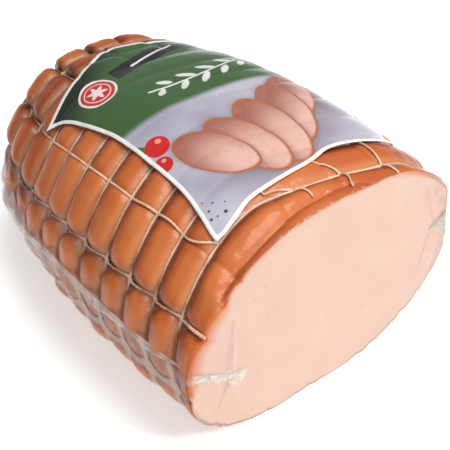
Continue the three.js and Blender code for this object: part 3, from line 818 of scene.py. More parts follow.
def face_rings(rim, strings, count):
    """Rings of the cut face: first in from the notched rim to a plain oval, then on to the middle."""
    angle = angle_at_girth(girth_of(0, strings))
    normal = body_normal(np.zeros_like(angle), angle)
    oval = raised(body_point(0.0, angle), normal, np.full(len(angle), -NOTCH_REACH))
    oval[:, 1] = 0
    oval[:, 2] = np.maximum(oval[:, 2], NOTCH_REACH / 2)
    centre = oval.mean(0)
    outer = np.linspace(0, 1, NOTCH_RINGS + 1)[1:, None, None] ** NOTCH_POWER
    inner = np.linspace(0, 1, count + 1)[1:-1, None, None]
    rings = np.concatenate([lerp(rim[None], oval[None], outer), lerp(oval[None], centre, inner)])
    rings[..., 1] = 0
    return rings, centre


def make_roast(material):
    skin, light, slope = meat_grid()
    rings, centre = face_rings(skin[0], net_columns(COLUMN_STEPS), FACE_RINGS)
    from_rim = np.linalg.norm(rings - skin[0], axis=-1)
    rings[..., 1] = waves(rings, FACE_RIPPLES) * smoothstep(from_rim, *FACE_START)
    piece = shell_object("roast_meat", skin, rings, centre, material)
    face_count = from_rim.size + 2
    # the skin's browning and painted shade, and where the lit front slopes lie
    add_attribute(piece, "groove", light, np.ones(face_count))
    add_attribute(piece, "slope", slope, np.zeros(face_count))
    border = soft_border(skin[0])
    browned = np.clip(1 - from_rim / border, 0, 1) ** BORDER_POWER
    browned = browned * smoothstep(border, SHARP_BORDER, WIDE_BORDER)
    at_rim = smoothstep(soft_border(skin), SHARP_BORDER, WIDE_BORDER)
    add_attribute(piece, "skin", np.maximum(smoothstep(skin[..., 1], *SKIN_START), at_rim), browned, [0, 1])
    skin_line = edge_weight(skin) * fall(skin[..., 1], *EDGE_LINE["skin"])
    face_line = edge_weight(skin[0]) * np.clip(1 - from_rim / EDGE_LINE["face"], 0, 1)
    add_attribute(piece, "edge", skin_line, face_line, [0, 0])
    return piece


def meat_paint():
    paint = Paint("roast_meat", Roughness=0.42, Specular_IOR_Level=0.25, Coat_Weight=0.35,
                  Coat_Roughness=0.12, Subsurface_Weight=0.1, Subsurface_Scale=0.003,
                  Subsurface_Radius=(1.0, 0.45, 0.25))
    # skin browning, darker where the skin's browning and painted shade value is low
    browned = paint.ramp(paint.attribute("groove"), (0.0, colour(66, 27, 12)), (0.45, colour(128, 53, 18)),
                         (0.80, colour(186, 90, 35)), (1.0, colour(204, 113, 54)))
    patches = paint.noise(0.03, 3).step(0.42, 0.68)
    browned = paint.mix(patches * 0.35, browned, colour(166, 66, 18))
    tan = paint.noise(0.012, 4).step(0.5, 0.75)
    browned = paint.mix(tan * 0.25, browned, colour(208, 132, 70))
    # painted light: the lit front slopes of the pillows are paler
    browned = paint.mix(paint.attribute("slope") * 0.5, browned, colour(212, 146, 96))
    pale = paint.mix(paint.noise(0.02, 3).step(0.3, 0.8) * 0.5, colour(206, 171, 154), colour(200, 161, 144))
    pores = paint.specks(0.012).step(0.10, 0.05)
    pale = paint.mix(pores * 0.4, pale, colour(190, 136, 112))
    whole = paint.mix(paint.attribute("skin"), pale, browned)
    paint.base(paint.mix(paint.attribute("edge") * 0.8, whole, colour(136, 92, 70)))
    paint.bump(paint.noise(0.0018, 3) + paint.noise(0.006, 2) * 2.0, 0.00012)
    paint.bump(paint.noise(0.0035, 2) + paint.noise(0.012, 2) * 2.0, 0.0003, "Coat Normal")
    return paint.material


# Net; the free end runs forward from the first hoop on the top
CORD_SIDES = 9
CORD_STEP = 0.0009
PLY_TURN = 0.0052
PLY_DEPTH = 0.16
ROUGH_STEPS = 261
CORD_RISES = (0.2, 0.6)
HOOP_RISES = (0.35, 0.7)
FREE_END = {"string": 4, "reach": 0.72, "slide": -0.04, "frayed": 0.38, "steps": 40}
FRAYED = {"swell": (0.1, 0.75), "taper": (0.85, 1), "tapered": 0.5}
FRONT_EASE = 0.12
STRING_END = LAST_HOOP - 0.15
KNOT = {"lift": 0.0016, "cells": (11.9, 12.7), "turns": 3.2, "radius": 0.0042, "pitch": 0.0009,
        "cord": 0.0007, "steps": 140, "wobble": 0.12, "wobbles": 3.4}
# cords browner from real staining and painted shade: low on the flanks, in the grooves and at the back
STRING_STAIN_AND_SHADE = {"most": 0.5, "rises": (0.0, 0.70), "cells": (6.0, 9.5)}
HOOP_STAIN_AND_SHADE = {"rises": (0.55, 0.80), "under": 0.75, "under_rises": (-0.35, 0.0), "away": (0.03, 0.22)}
HITCH_SWELL = 0.35
HITCH_REACH = 0.0014
HITCH_TURN = 0.9


class Tubes:
    """Cords as closed tubes in one mesh."""

    def __init__(self):
        self.points = []
        self.faces = []
        self.stain_and_shade = []
        self.count = 0

    def add(self, path, normals, radii, stain_and_shade, closed=False):
        """A two-ply cord along a path; normals point away from the meat, and the stain and shade value is 1
        where it is brown from staining and painted shade.
        """
        steps = len(path)
        ahead = np.roll(path, -1, 0) - np.roll(path, 1, 0)
        if not closed:
            ahead[0], ahead[-1] = path[1] - path[0], path[-1] - path[-2]
        side = unit(np.cross(ahead, normals))
        up = unit(np.cross(side, ahead))
        distance = travelled(path)
        turns = distance / PLY_TURN
        if closed:
            whole = distance[-1] + np.linalg.norm(path[0] - path[-1])
            turns = distance * (round(2 * whole / PLY_TURN) / 2 / whole)
        around = np.arange(CORD_SIDES) * 2 * math.pi / CORD_SIDES
        ply = 1 + PLY_DEPTH * np.cos(2 * (around[None, :] - 2 * math.pi * turns[:, None]))
        reach = ply * np.asarray(radii)[:, None]
        ring = path[:, None] + side[:, None] * (reach * np.cos(around))[..., None]
        ring = ring + up[:, None] * (reach * np.sin(around))[..., None]
        faces = np.array(grid_faces(steps, CORD_SIDES, True)) + self.count
        self.faces += faces.tolist()
        first, last = self.count, self.count + (steps - 1) * CORD_SIDES
        if closed:
            for k in range(CORD_SIDES):
                other = (k + 1) % CORD_SIDES
                self.faces.append((last + k, first + k, first + other, last + other))
        else:
            self.faces.append(tuple(first + k for k in range(CORD_SIDES)))
            self.faces.append(tuple(last + k for k in reversed(range(CORD_SIDES))))
        self.points.append(ring.reshape(-1, 3))
        self.stain_and_shade.append(np.repeat(stain_and_shade, CORD_SIDES))
        self.count += steps * CORD_SIDES


def even_samples(length):
    return max(6, int(length / CORD_STEP))


def cord_path(hoops, strings, kind):
    """The centre line of a cord that lies in the grooves at net coordinates."""
    point, normal, depth, swell = surface(hoops, strings)
    sink = lerp(CORD_SINK[kind]["flank"], CORD_SINK[kind]["top"], smoothstep(normal[..., 2], *CORD_RISES))
    path = raised(point, normal, pillow_height(depth, swell) + sink)
    path[..., 2] = np.maximum(path[..., 2], STRING_RADIUS)
    return path, normal


def groove_stain(normal, place):
    """Stain and painted shade of a hoop: deep on the flanks, where it lies in the grooves, least on the top,
    underneath and by its crossings.
    """
    away = np.abs(place - np.round(place))
    under = 1 - HOOP_STAIN_AND_SHADE["under"] * fall(normal[..., 2], *HOOP_STAIN_AND_SHADE["under_rises"])
    return fall(normal[..., 2], *HOOP_STAIN_AND_SHADE["rises"]) * under * smoothstep(away, *HOOP_STAIN_AND_SHADE["away"])


def hitched_radii(radius, share, spacing):
    """Radii of a cord that thickens where it is hitched to another, at whole numbers of share."""
    away = np.abs(share - np.round(share)) * spacing
    return radius * (1 + HITCH_SWELL * bell(away, 0, HITCH_REACH))


def hitch_step(hoop):
    """How a string steps round each hoop: a sawtooth from -0.5 to 0.5 that turns back at the crossings."""
    part = hoop - np.floor(hoop)
    return np.where(part < HITCH_TURN, part / HITCH_TURN, (1 - part) / (1 - HITCH_TURN)) - 0.5


def string_front(string):
    """Net coordinates of a string's wandering front part."""
    route = np.array(STRING_FRONTS[string]) / 1000
    share = np.linspace(0, 1, even_samples(travelled(route)[-1]))
    return net_coordinates(*along_route(route, share, FRONT_EASE))


def string_line(string):
    """Net coordinates along a whole string, from its front end to the back."""
    if string not in STRING_FRONTS:
        hoops = np.linspace(STRING_STARTS[string], STRING_END, even_samples(BACK_LENGTH))
        return hoops, string + STRING_STEPS.get(string, 0.0) * hitch_step(hoops)
    front_hoops, front_strings = string_front(string)
    start = front_hoops[-1]
    hoops = np.linspace(start, STRING_END, even_samples(BACK_LENGTH))[1:]
    astray = (front_strings[-1] - string) * fall(hoops, start, start + 1)
    return np.concatenate([front_hoops, hoops]), np.concatenate([front_strings, string + astray])


def knot_coil():
    """A few turns of cord round the gathered strings, with outward directions."""
    turns = np.linspace(0, 2 * math.pi * KNOT["turns"], KNOT["steps"])
    pole = body_point(LENGTH, 0.0)
    reach = KNOT["radius"] * (1 + KNOT["wobble"] * np.sin(KNOT["wobbles"] * turns))
    rise = KNOT["lift"] + KNOT["pitch"] * turns / (2 * math.pi)
    path = np.stack([pole[0] + reach * np.cos(turns), LENGTH + rise, pole[2] + reach * np.sin(turns)], -1)
    return path, np.stack([np.cos(turns), np.zeros_like(turns), np.sin(turns)], -1)


def add_hoop(tubes, hoop):
    rough, _ = cord_path(np.full(ROUGH_STEPS, float(hoop)), np.linspace(0, STRING_COUNT, ROUGH_STEPS), "hoop")
    length = travelled(rough)[-1]
    strings = np.linspace(0, STRING_COUNT, even_samples(length), endpoint=False)
    path, normal = cord_path(np.full(len(strings), float(hoop)), strings, "hoop")
    radius = lerp(HOOP_RADIUS["flank"], HOOP_RADIUS["top"], smoothstep(normal[..., 2], *HOOP_RISES))
    radii = hitched_radii(radius, strings, length / STRING_COUNT)
    tubes.add(path, normal, radii, groove_stain(normal, strings), closed=True)


def add_string(tubes, string):
    """A string, whose gathered end rises off the meat towards the knot."""
    hoops, strings = string_line(string)
    path, normal = cord_path(hoops, strings, "string")
    path = raised(path, normal, KNOT["lift"] * smoothstep(hoops, *KNOT["cells"]))
    # browner low on the flanks from staining and painted shade, and at the back from painted shade
    low = fall(normal[..., 2], *STRING_STAIN_AND_SHADE["rises"])
    stain_and_shade = STRING_STAIN_AND_SHADE["most"] * np.maximum(low, smoothstep(hoops, *STRING_STAIN_AND_SHADE["cells"]))
    tubes.add(path, normal, hitched_radii(STRING_RADIUS, hoops, HOOP_SPACING), stain_and_shade)


def add_free_end(tubes):
    share = np.linspace(0, 1, FREE_END["steps"])
    strings = FREE_END["string"] + FREE_END["slide"] * share
    path, normal = cord_path(1 - FREE_END["reach"] * share, strings, "string")
    taper = 1 - FRAYED["tapered"] * smoothstep(share, *FRAYED["taper"])
    radii = STRING_RADIUS * (1 + FREE_END["frayed"] * smoothstep(share, *FRAYED["swell"]) * taper)
    tubes.add(raised(path, normal, radii - STRING_RADIUS / 2), normal, radii, np.full(len(share), -0.5))


def make_net(material):
    tubes = Tubes()
    path, normal = knot_coil()
    tubes.add(path, normal, np.full(len(path), KNOT["cord"]), np.zeros(len(path)))
    for hoop in range(1, HOOP_COUNT + 1):
        add_hoop(tubes, hoop)
    for string in range(STRING_COUNT):
        add_string(tubes, string)
    add_free_end(tubes)
    piece = mesh_object("netting", np.concatenate(tubes.points), tubes.faces, material)
    add_attribute(piece, "stain_and_shade", *tubes.stain_and_shade)
    return piece


def net_paint():
    paint = Paint("netting", Roughness=0.75, Coat_Weight=0.2, Coat_Roughness=0.25)
    stain_and_shade = paint.attribute("stain_and_shade")
    blotch = paint.noise(0.010, 3).step(0.35, 0.7)
    cord = paint.mix(blotch, colour(231, 199, 170), colour(201, 153, 117))
    # cords darken towards brown with their stain and painted shade; the free end is paler
    cord = paint.mix(stain_and_shade.step(0, 1), cord, colour(132, 70, 36))
    paint.base(paint.mix(stain_and_shade.step(0, -0.5), cord, colour(220, 180, 154)))
    paint.bump(paint.noise(0.0006, 2), 0.00008)
    return paint.material


# Label: its sides as places behind the cut and of girth, in millimetres
LABEL_SIDES = {
    "left": [(22, 158.6), (24.5, 158.5), (28.5, 157.5), (33.5, 156), (39.5, 154.5), (46, 153), (53, 152),
             (60, 151.5), (77, 151.5), (93, 151.5), (102.5, 152), (111.5, 153), (122, 155.5), (133.5, 158),
             (140.5, 160.5), (146, 163.5), (150.5, 171)],
    "right": [(23, 46), (30, 45.5), (45, 46.5), (60, 48), (85, 50), (110, 52), (135, 54), (150, 57),
              (160, 60)],
    "front": [(22, 158.6), (21, 156), (21.5, 151.5), (22.5, 147), (23.5, 142.5), (25, 137.5), (25.5, 133),
              (25, 121.5), (25.5, 109.5), (25.5, 102), (26.5, 93.5), (28.5, 86.5), (28.5, 80.5), (27.5, 74.5),
              (26, 66.5), (24.5, 60), (23, 46)],
    "back": [(150.5, 171), (152, 165.5), (155, 158), (158, 150.5), (160.5, 143.5), (162.5, 136.5),
             (164.5, 130.5), (168, 121), (171.5, 111.5), (172.5, 104.5), (171, 97), (168, 88), (165, 77),
             (162, 69.5), (160, 60)]}
LABEL_EASE = 0.05
LABEL_HEIGHT = 0.0019
LABEL_THICKNESS = 0.0002
LABEL_SAG = 0.16
LABEL_GRID = (130, 110)


def label_side(name, share):
    """y and girth along one side of the label, for shares of its length; the corners stay where they are."""
    places = np.array(LABEL_SIDES[name]) / 1000
    stations = travelled(places)
    return along_route(places, share, LABEL_EASE, stations / stations[-1])


def label_place(along, across):
    """y and girth on the body at shares of the label's length and width."""
    left, right = label_side("left", along), label_side("right", along)
    front, back = label_side("front", across), label_side("back", across)
    corners = [(name, end) for end in (0, -1) for name in ("left", "right")]
    place = []
    for k in (0, 1):
        sides = lerp(left[k], right[k], across) + lerp(front[k], back[k], along)
        ends = [LABEL_SIDES[name][end][k] / 1000 for name, end in corners]
        place.append(sides - lerp(lerp(ends[0], ends[1], across), lerp(ends[2], ends[3], across), along))
    return place


def label_surface(along, across):
    """Points of the body under the label, with their directions and the label's height over them."""
    y, girth = label_place(along, across)
    angle = angle_at_girth(girth)
    point, normal = body_point(y, angle), body_normal(y, angle)
    depth, swell = relief(*net_coordinates(y, girth), normal)
    return point, normal, LABEL_HEIGHT + LABEL_SAG * depth * (np.clip(swell, 0, 1) - 1)


def make_label(material):
    along, across = np.meshgrid(*(np.linspace(0, 1, steps + 1) for steps in LABEL_GRID), indexing="ij")
    point, normal, height = label_surface(along, across)
    top = raised(point, normal, height + LABEL_THICKNESS)
    piece = sheet_object("label_sheet", raised(point, normal, height), top, material)
    border = np.concatenate([top[0], top[-1], top[:, 0], top[:, -1]])
    rim = np.min([np.linalg.norm(top - place, axis=-1) for place in border], axis=0)
    y, girth = label_place(along, across)
    for name, values in (("label_y", y * 1000), ("label_girth", girth * 1000), ("rim", rim * 1000)):
        add_attribute(piece, name, values, values)
    return piece


# Print of the label, in millimetres behind the cut and of girth; a pair says where an edge starts and is full
RIM = (2.2, 1.95)
GREEN_FROM = {"level": 85.9, "slope": 0.10, "blur": 2.5}
GREEN_SHADOW = {"slope": 0.62, "level": 229, "span": (-8, 16), "strength": 0.94}
BAND = {"level": 163.5, "slope": -0.15, "across": (5.7, 5.3), "start": (122.3, 121.7)}
RULE = {"across": (0.9, 0.6), "start": (108, 107), "end": (71, 72)}
DISC_BLUR = 0.25
LEAF_EDGE = (1.15, 0.85)

# Shapes of the print: ovals by y, girth, half sizes and turn, and discs by y, girth and radius
SEAL = {"y": 141.0, "girth": 137.0, "radius": 11.5}
SEAL_DISCS = [(1.0, (240, 236, 230)), (0.88, (206, 40, 32)), (0.70, (240, 226, 218)), (0.64, (206, 40, 32))]
SEAL_PETAL = {"length": 1.05, "width": 3.0, "turns": (0, 60, 120)}
SPRIG = {"y": 112.0, "girth": 92.0, "bow": 0.0045, "half": 30.0, "leaves": 9}
SPRIG_LEAF = {"length": 11.5, "shorter": 4.5, "width": 3.6, "turn": 52, "rise": 3.9, "back": 2.4}
SLICES = [(71, 69, 24, 12.0, -38), (61, 81, 26, 12.5, -22), (54, 96, 27, 13.5, -6), (53, 112, 25, 13.5, 10),
          (58, 127, 22, 12.0, 27)]
SLICE_SHADES = [(66, 64, 30, 13, -30), (40, 104, 13, 34, 0)]
BERRIES = [(82, 143, 6.2), (71, 148, 4.8)]
BERRY_LEAF = {"y": 4, "girth": 6, "shape": (9, 4, 25)}
BERRY_GLINT = {"off": 0.35, "radius": 0.25}
PEPPER = [(35, 151, 0.6), (37, 147, 0.5), (31, 153, 0.7), (41, 150, 0.4), (29, 146, 0.9), (33, 143, 0.4),
          (30, 150, 0.5)]


class Sheet:
    """The label's print: shapes are fields, 1 inside and 0 outside, and are laid over what is there."""

    def __init__(self, paint):
        self.paint = paint
        self.y = paint.attribute("label_y")
        self.girth = paint.attribute("label_girth")
        self.ground = None

    def lay(self, shape, tone):
        self.ground = self.paint.mix(shape, self.ground, tone)

    def oval(self, y, girth, half_y, half_girth, turn=0.0):
        """Distance from a turned ellipse's middle, 1 on its outline."""
        cosine, sine = math.cos(math.radians(turn)), math.sin(math.radians(turn))
        up, side = self.y - y, self.girth - girth
        along = (up * cosine + side * sine) * (1 / half_y)
        across = (side * cosine - up * sine) * (1 / half_girth)
        return (along * along + across * across).power(0.5)

    def disc(self, y, girth, radius):
        return self.oval(y, girth, radius, radius).step(1 + DISC_BLUR / radius, 1 - DISC_BLUR / radius)

    def leaf(self, y, girth, length, width, turn):
        return self.oval(y, girth, length / 2, width / 2, turn).step(*LEAF_EDGE)


def sprig(sheet):
    """A bowed stem with leaves on alternate sides."""
    side = sheet.girth - SPRIG["girth"]
    stem = (sheet.y - SPRIG["y"] - side * side * SPRIG["bow"]).absolute().step(0.75, 0.4)
    shape = stem * side.absolute().step(SPRIG["half"], SPRIG["half"] - 1)
    for k in range(SPRIG["leaves"]):
        share = (k + 0.5) / SPRIG["leaves"] * 2 - 1
        place = share * SPRIG["half"]
        above = 1 if k % 2 else -1
        y = SPRIG["y"] + SPRIG["bow"] * place * place + above * SPRIG_LEAF["rise"]
        length = SPRIG_LEAF["length"] - SPRIG_LEAF["shorter"] * abs(share)
        leaf = sheet.leaf(y, SPRIG["girth"] + place - SPRIG_LEAF["back"], length, SPRIG_LEAF["width"],
                          SPRIG_LEAF["turn"] * above)
        shape = shape.most(leaf)
    return shape


def slices(sheet):
    """Overlapping slices, each shaded towards one side inside a browned rim."""
    paint = sheet.paint
    for shade in SLICE_SHADES:
        sheet.lay(sheet.oval(*shade).step(1.3, 0.4) * 0.55, colour(112, 88, 84))
    for y, girth, half_y, half_girth, turn in SLICES:
        inside = sheet.oval(y, girth, half_y, half_girth, turn)
        shade = sheet.oval(y - half_y * 0.5, girth - half_girth * 0.5, half_y * 1.5, half_girth * 1.5, turn)
        sheet.lay(inside.step(1.18, 0.95) * 0.4, colour(120, 104, 112))
        meat = paint.mix(shade.step(0.15, 1.0), colour(222, 176, 162), colour(160, 96, 80))
        meat = paint.mix(paint.noise(0.006, 3).step(0.5, 0.8) * 0.4, meat, colour(190, 128, 112))
        rimmed = paint.mix(inside.step(0.88, 0.96), meat, colour(176, 98, 56))
        sheet.lay(inside.step(1.02, 0.98), rimmed)


def print_ground(sheet):
    """Green behind, darker towards the top, and lilac in front."""
    paint, y, girth = sheet.paint, sheet.y, sheet.girth
    shadow = (girth * GREEN_SHADOW["slope"] + y - GREEN_SHADOW["level"]).step(*GREEN_SHADOW["span"])
    green = paint.mix(paint.noise(0.03, 2), colour(50, 86, 40), colour(64, 99, 50))
    green = paint.mix(shadow * GREEN_SHADOW["strength"], green, colour(12, 28, 10))
    lilac = paint.mix(paint.noise(0.04, 2).step(0.3, 0.7), colour(160, 154, 172), colour(192, 188, 198))
    boundary = y - girth * GREEN_FROM["slope"] - GREEN_FROM["level"]
    sheet.ground = paint.mix(boundary.step(-GREEN_FROM["blur"], GREEN_FROM["blur"]), lilac, green)


def print_band(sheet):
    """A dark band across the green, with a pale rule along its middle."""
    girth = sheet.girth
    across = (sheet.y - girth * BAND["slope"] - BAND["level"]).absolute()
    sheet.lay(across.step(*BAND["across"]) * girth.step(*BAND["start"]), colour(26, 28, 20))
    rule = across.step(*RULE["across"]) * girth.step(*RULE["start"]) * girth.step(*RULE["end"])
    sheet.lay(rule, colour(226, 226, 218))


def seal(sheet):
    y, girth, radius = SEAL["y"], SEAL["girth"], SEAL["radius"]
    for share, tone in SEAL_DISCS:
        sheet.lay(sheet.disc(y, girth, radius * share), colour(*tone))
    for turn in SEAL_PETAL["turns"]:
        petal = sheet.leaf(y, girth, radius * SEAL_PETAL["length"], SEAL_PETAL["width"], turn)
        sheet.lay(petal, colour(244, 232, 226))


def berries(sheet):
    """Berries, each on a leaf and with a small glint."""
    for y, girth, radius in BERRIES:
        leaf = sheet.leaf(y + BERRY_LEAF["y"], girth + BERRY_LEAF["girth"], *BERRY_LEAF["shape"])
        sheet.lay(leaf, colour(66, 110, 48))
        sheet.lay(sheet.disc(y, girth, radius), colour(200, 30, 26))
        off = radius * BERRY_GLINT["off"]
        sheet.lay(sheet.disc(y + off, girth - off, radius * BERRY_GLINT["radius"]), colour(240, 150, 136))


def label_paint():
    paint = Paint("label_print", Roughness=0.34, Coat_Weight=0.4, Coat_Roughness=0.1)
    sheet = Sheet(paint)
    print_ground(sheet)
    slices(sheet)
    print_band(sheet)
    sheet.lay(sprig(sheet), colour(222, 224, 216))
    seal(sheet)
    berries(sheet)
    for dot in PEPPER:
        sheet.lay(sheet.disc(*dot), colour(58, 54, 60))
    paint.base(paint.mix(paint.attribute("rim").step(*RIM), sheet.ground, colour(240, 240, 236)))
    return paint.material


# Clear film: tight over the pillows, bridging the grooves as a rolled ball would, with tents along its seam
FILM_CLEARANCE = 0.00015
FACE_CLEARANCE = 0.0003
FILM_COLUMN_STEPS = 16
FILM_ROW_STEPS = 12
FILM_RINGS = 12
FILM_FADE = (0.0004, 0.0030)

# Balls rolled over the meat, by their radius and reach, and the girths between which the film is loose
BALLS = {"tight": (0.0060, 0.0042), "loose": (0.020, 0.0063)}
BALL_STEP = 0.0007
LOOSE_GIRTHS = (0.176, 0.190, 0.262, 0.275)

# Marks of the film: pockets in the cells' corners, creases beside them, and painted glints by the hoops and
# the cut
POCKET = {"inward": (0.0007, 0.0013), "cut": (0.0004, 0.0012)}
CREASE = {"inward": (0.0006, 0.0011, 0.0012, 0.0017), "cut": (0.0003, 0.0010)}
GLINT = {"part": 0.115, "spread": 0.026, "cells": (0.5, 0.8), "girths": (0.140, 0.152, 0.166, 0.176)}
EDGE_GLINT = {"y": 0.0011, "spread": 0.0005, "strength": 0.5, "girths": (0.070, 0.095, 0.142, 0.152)}

# The seam's level, and the tents that the film makes along it and at the knot
SEAM_LEVEL = {"side": 0.0485, "back": 0.0380}
SEAM_FALL = (0.070, 0.155)
TENT_REACH = 0.006
TENT_HEIGHT = {"front": 0.0006, "back": 0.0030}
TENT_GROWTH = (0.06, 0.17)
KNOT_TENT = {"height": 0.0052, "cells": (11.4, 12.3)}


def seam_level(y):
    return lerp(SEAM_LEVEL["side"], SEAM_LEVEL["back"], smoothstep(y, *SEAM_FALL))


def tent_height(y):
    return lerp(TENT_HEIGHT["front"], TENT_HEIGHT["back"], smoothstep(y, *TENT_GROWTH))


def ball_offsets(radius, reach):
    """Steps to the neighbours that a ball covers, with how far its surface lies above its foot there."""
    steps = int(reach / BALL_STEP)
    for i in range(-steps, steps + 1):
        for j in range(-steps, steps + 1):
            away = math.hypot(i, j) * BALL_STEP
            if away <= reach:
                yield i, j, radius - math.sqrt(radius ** 2 - away ** 2)


def shifted(values, i, j):
    return np.roll(values[np.clip(np.arange(len(values)) + i, 0, len(values) - 1)], j, axis=1)


def rolled(meat, ball):
    """Height that the underside of a ball rolled over the meat can reach."""
    offsets = list(ball_offsets(*ball))
    middle = np.max([shifted(meat, i, j) - drop for i, j, drop in offsets], axis=0)
    return np.min([shifted(middle, i, j) + drop for i, j, drop in offsets], axis=0)


def rolled_relief():
    """Height of the film over the bare body, on a grid of lengths along the back and girths."""
    lengths = np.arange(0, BACK_LENGTH, BALL_STEP)
    girths = np.arange(int(GIRTH / BALL_STEP)) * (GIRTH / int(GIRTH / BALL_STEP))
    y = np.interp(lengths, BACK_TABLE, TABLE_Y)[:, None]
    y, girth = np.broadcast_arrays(y, girths[None, :])
    meat = pillow_height(*relief(*net_coordinates(y, girth), body_normal(y, angle_at_girth(girth))))
    return lerp(rolled(meat, BALLS["tight"]), rolled(meat, BALLS["loose"]), window(girth, *LOOSE_GIRTHS))


def sampled(table, length, girth):
    """Values between the points of a grid of back lengths and girths."""
    row = np.clip(length / BALL_STEP, 0, len(table) - 1.001)
    column = np.mod(girth, GIRTH) / GIRTH * table.shape[1]
    i, j = np.floor(row).astype(int), np.floor(column).astype(int)
    u, v = row - i, column - j
    j, other = j % table.shape[1], (j + 1) % table.shape[1]
    return lerp(lerp(table[i, j], table[i, other], v), lerp(table[i + 1, j], table[i + 1, other], v), u)


def film_marks(hoop, string, y):
    """How strongly the film's pockets, creases and painted glints show, from 0 to 1."""
    inward, cut = cell_edges(hoop, string)
    pocket = fall(inward, *POCKET["inward"]) * smoothstep(cut, *POCKET["cut"])
    crease = window(inward, *CREASE["inward"]) * smoothstep(cut, *CREASE["cut"])
    girth = np.mod(girth_of(hoop, string), GIRTH)
    glint = bell(hoop - np.floor(hoop), GLINT["part"], GLINT["spread"]) * smoothstep(hoop, *GLINT["cells"])
    at_cut = EDGE_GLINT["strength"] * bell(y, EDGE_GLINT["y"], EDGE_GLINT["spread"])
    glint = glint * window(girth, *GLINT["girths"]) + at_cut * window(girth, *EDGE_GLINT["girths"])
    return {"pocket": pocket, "crease": crease, "glint": glint}


def film_surface(hoop, string):
    """Points of the body with the film's height over them and over the meat."""
    point, normal, depth, swell = surface(hoop, string)
    y = point[..., 1]
    meat = pillow_height(depth, swell)
    bridged = sampled(rolled_relief(), np.interp(y, TABLE_Y, BACK_TABLE), girth_of(hoop, string))
    height = np.maximum(bridged, meat) + FILM_CLEARANCE
    height = height + tent_height(y) * bell(point[..., 2], seam_level(y), TENT_REACH)
    height = height + KNOT_TENT["height"] * smoothstep(hoop, *KNOT_TENT["cells"])
    return point, normal, height, height - meat


def make_film(material):
    strings = net_columns(FILM_COLUMN_STEPS)
    hoops = net_rows(strings, FILM_ROW_STEPS)
    strings_too = np.broadcast_to(strings, hoops.shape)
    point, normal, height, gap = film_surface(hoops, strings_too)
    slack = fall(point[..., 1], 0, EDGE_ROUNDING)
    skin = raised(point, normal, height - (gap - FILM_CLEARANCE) * slack - edge_inset(point[..., 1]))
    skin[0, :, 1] = 0
    skin[..., 1] -= FACE_CLEARANCE * slack
    skin[..., 2] = np.maximum(skin[..., 2], 0)
    rings, centre = face_rings(skin[0], strings, FILM_RINGS)
    rings[..., 1] = -FACE_CLEARANCE
    centre[1] = -FACE_CLEARANCE
    piece = shell_object("bag_film", skin, rings, centre, material)
    values = {"girth": girth_of(hoops, strings_too) * 1000, "gap": gap * 1000,
              **film_marks(hoops, strings_too, point[..., 1]), "behind": smoothstep(skin[..., 1], *FILM_FADE)}
    for name, on_skin in values.items():
        add_attribute(piece, name, on_skin, np.zeros(rings.size // 3 + 2))
    return piece


# Creases and pools of film on the cut face: start, end, widths there, strength and colour, in millimetres
# the first two are the painted shadow of the film's tent on the left and the painted highlight beside it
FACE_CREASES = [((-57.6, 38.0), (-56.4, 66.0), 3.6, 0.8, 0.40, (222, 186, 174)),
                ((-55.8, 37.0), (-55.6, 58.0), 1.0, 0.5, 0.35, (250, 232, 222)),
                ((-58.0, 33.0), (-65.5, 20.0), 2.6, 0.7, 0.38, (214, 184, 172)),
                ((-82.0, 45.5), (-50.0, 32.5), 3.4, 4.6, 0.42, (236, 230, 216)),
                ((64.5, 75.4), (70.5, 56.5), 2.6, 1.8, 0.20, (216, 184, 160)),
                ((79.5, 43.0), (72.0, 27.0), 4.2, 1.8, 0.45, (212, 200, 190)),
                ((71.7, 51.6), (72.6, 50.8), 1.1, 0.9, 0.50, (176, 126, 96)),
                ((67.8, 49.1), (61.4, 30.6), 1.6, 0.7, 0.30, (216, 184, 166)),
                ((79.9, 40.1), (73.1, 30.4), 1.0, 0.8, 0.45, (206, 192, 190)),
                ((73.1, 30.4), (58.4, 15.1), 0.8, 0.5, 0.40, (206, 190, 186)),
                ((77.4, 58.5), (76.6, 55.5), 1.7, 1.2, 0.60, (150, 104, 76)),
                ((72.0, 74.0), (78.5, 61.0), 4.5, 5.5, 0.38, (214, 192, 168))]


def crease(place, start, end, first_width, last_width):
    """1 along a tapered line between two places of the cut face, fading to 0 at its width."""
    step = [end[k] - start[k] for k in (0, 1)]
    away = [place[k] - start[k] for k in (0, 1)]
    share = (away[0] * step[0] + away[1] * step[1]) * (1 / (step[0] ** 2 + step[1] ** 2))
    share = share.most(0.0).least(1.0)
    off = [away[k] - share * step[k] for k in (0, 1)]
    distance = (off[0] * off[0] + off[1] * off[1]).power(0.5)
    width = share * (last_width - first_width) + first_width
    return (distance - width).step(0, -min(first_width, last_width))


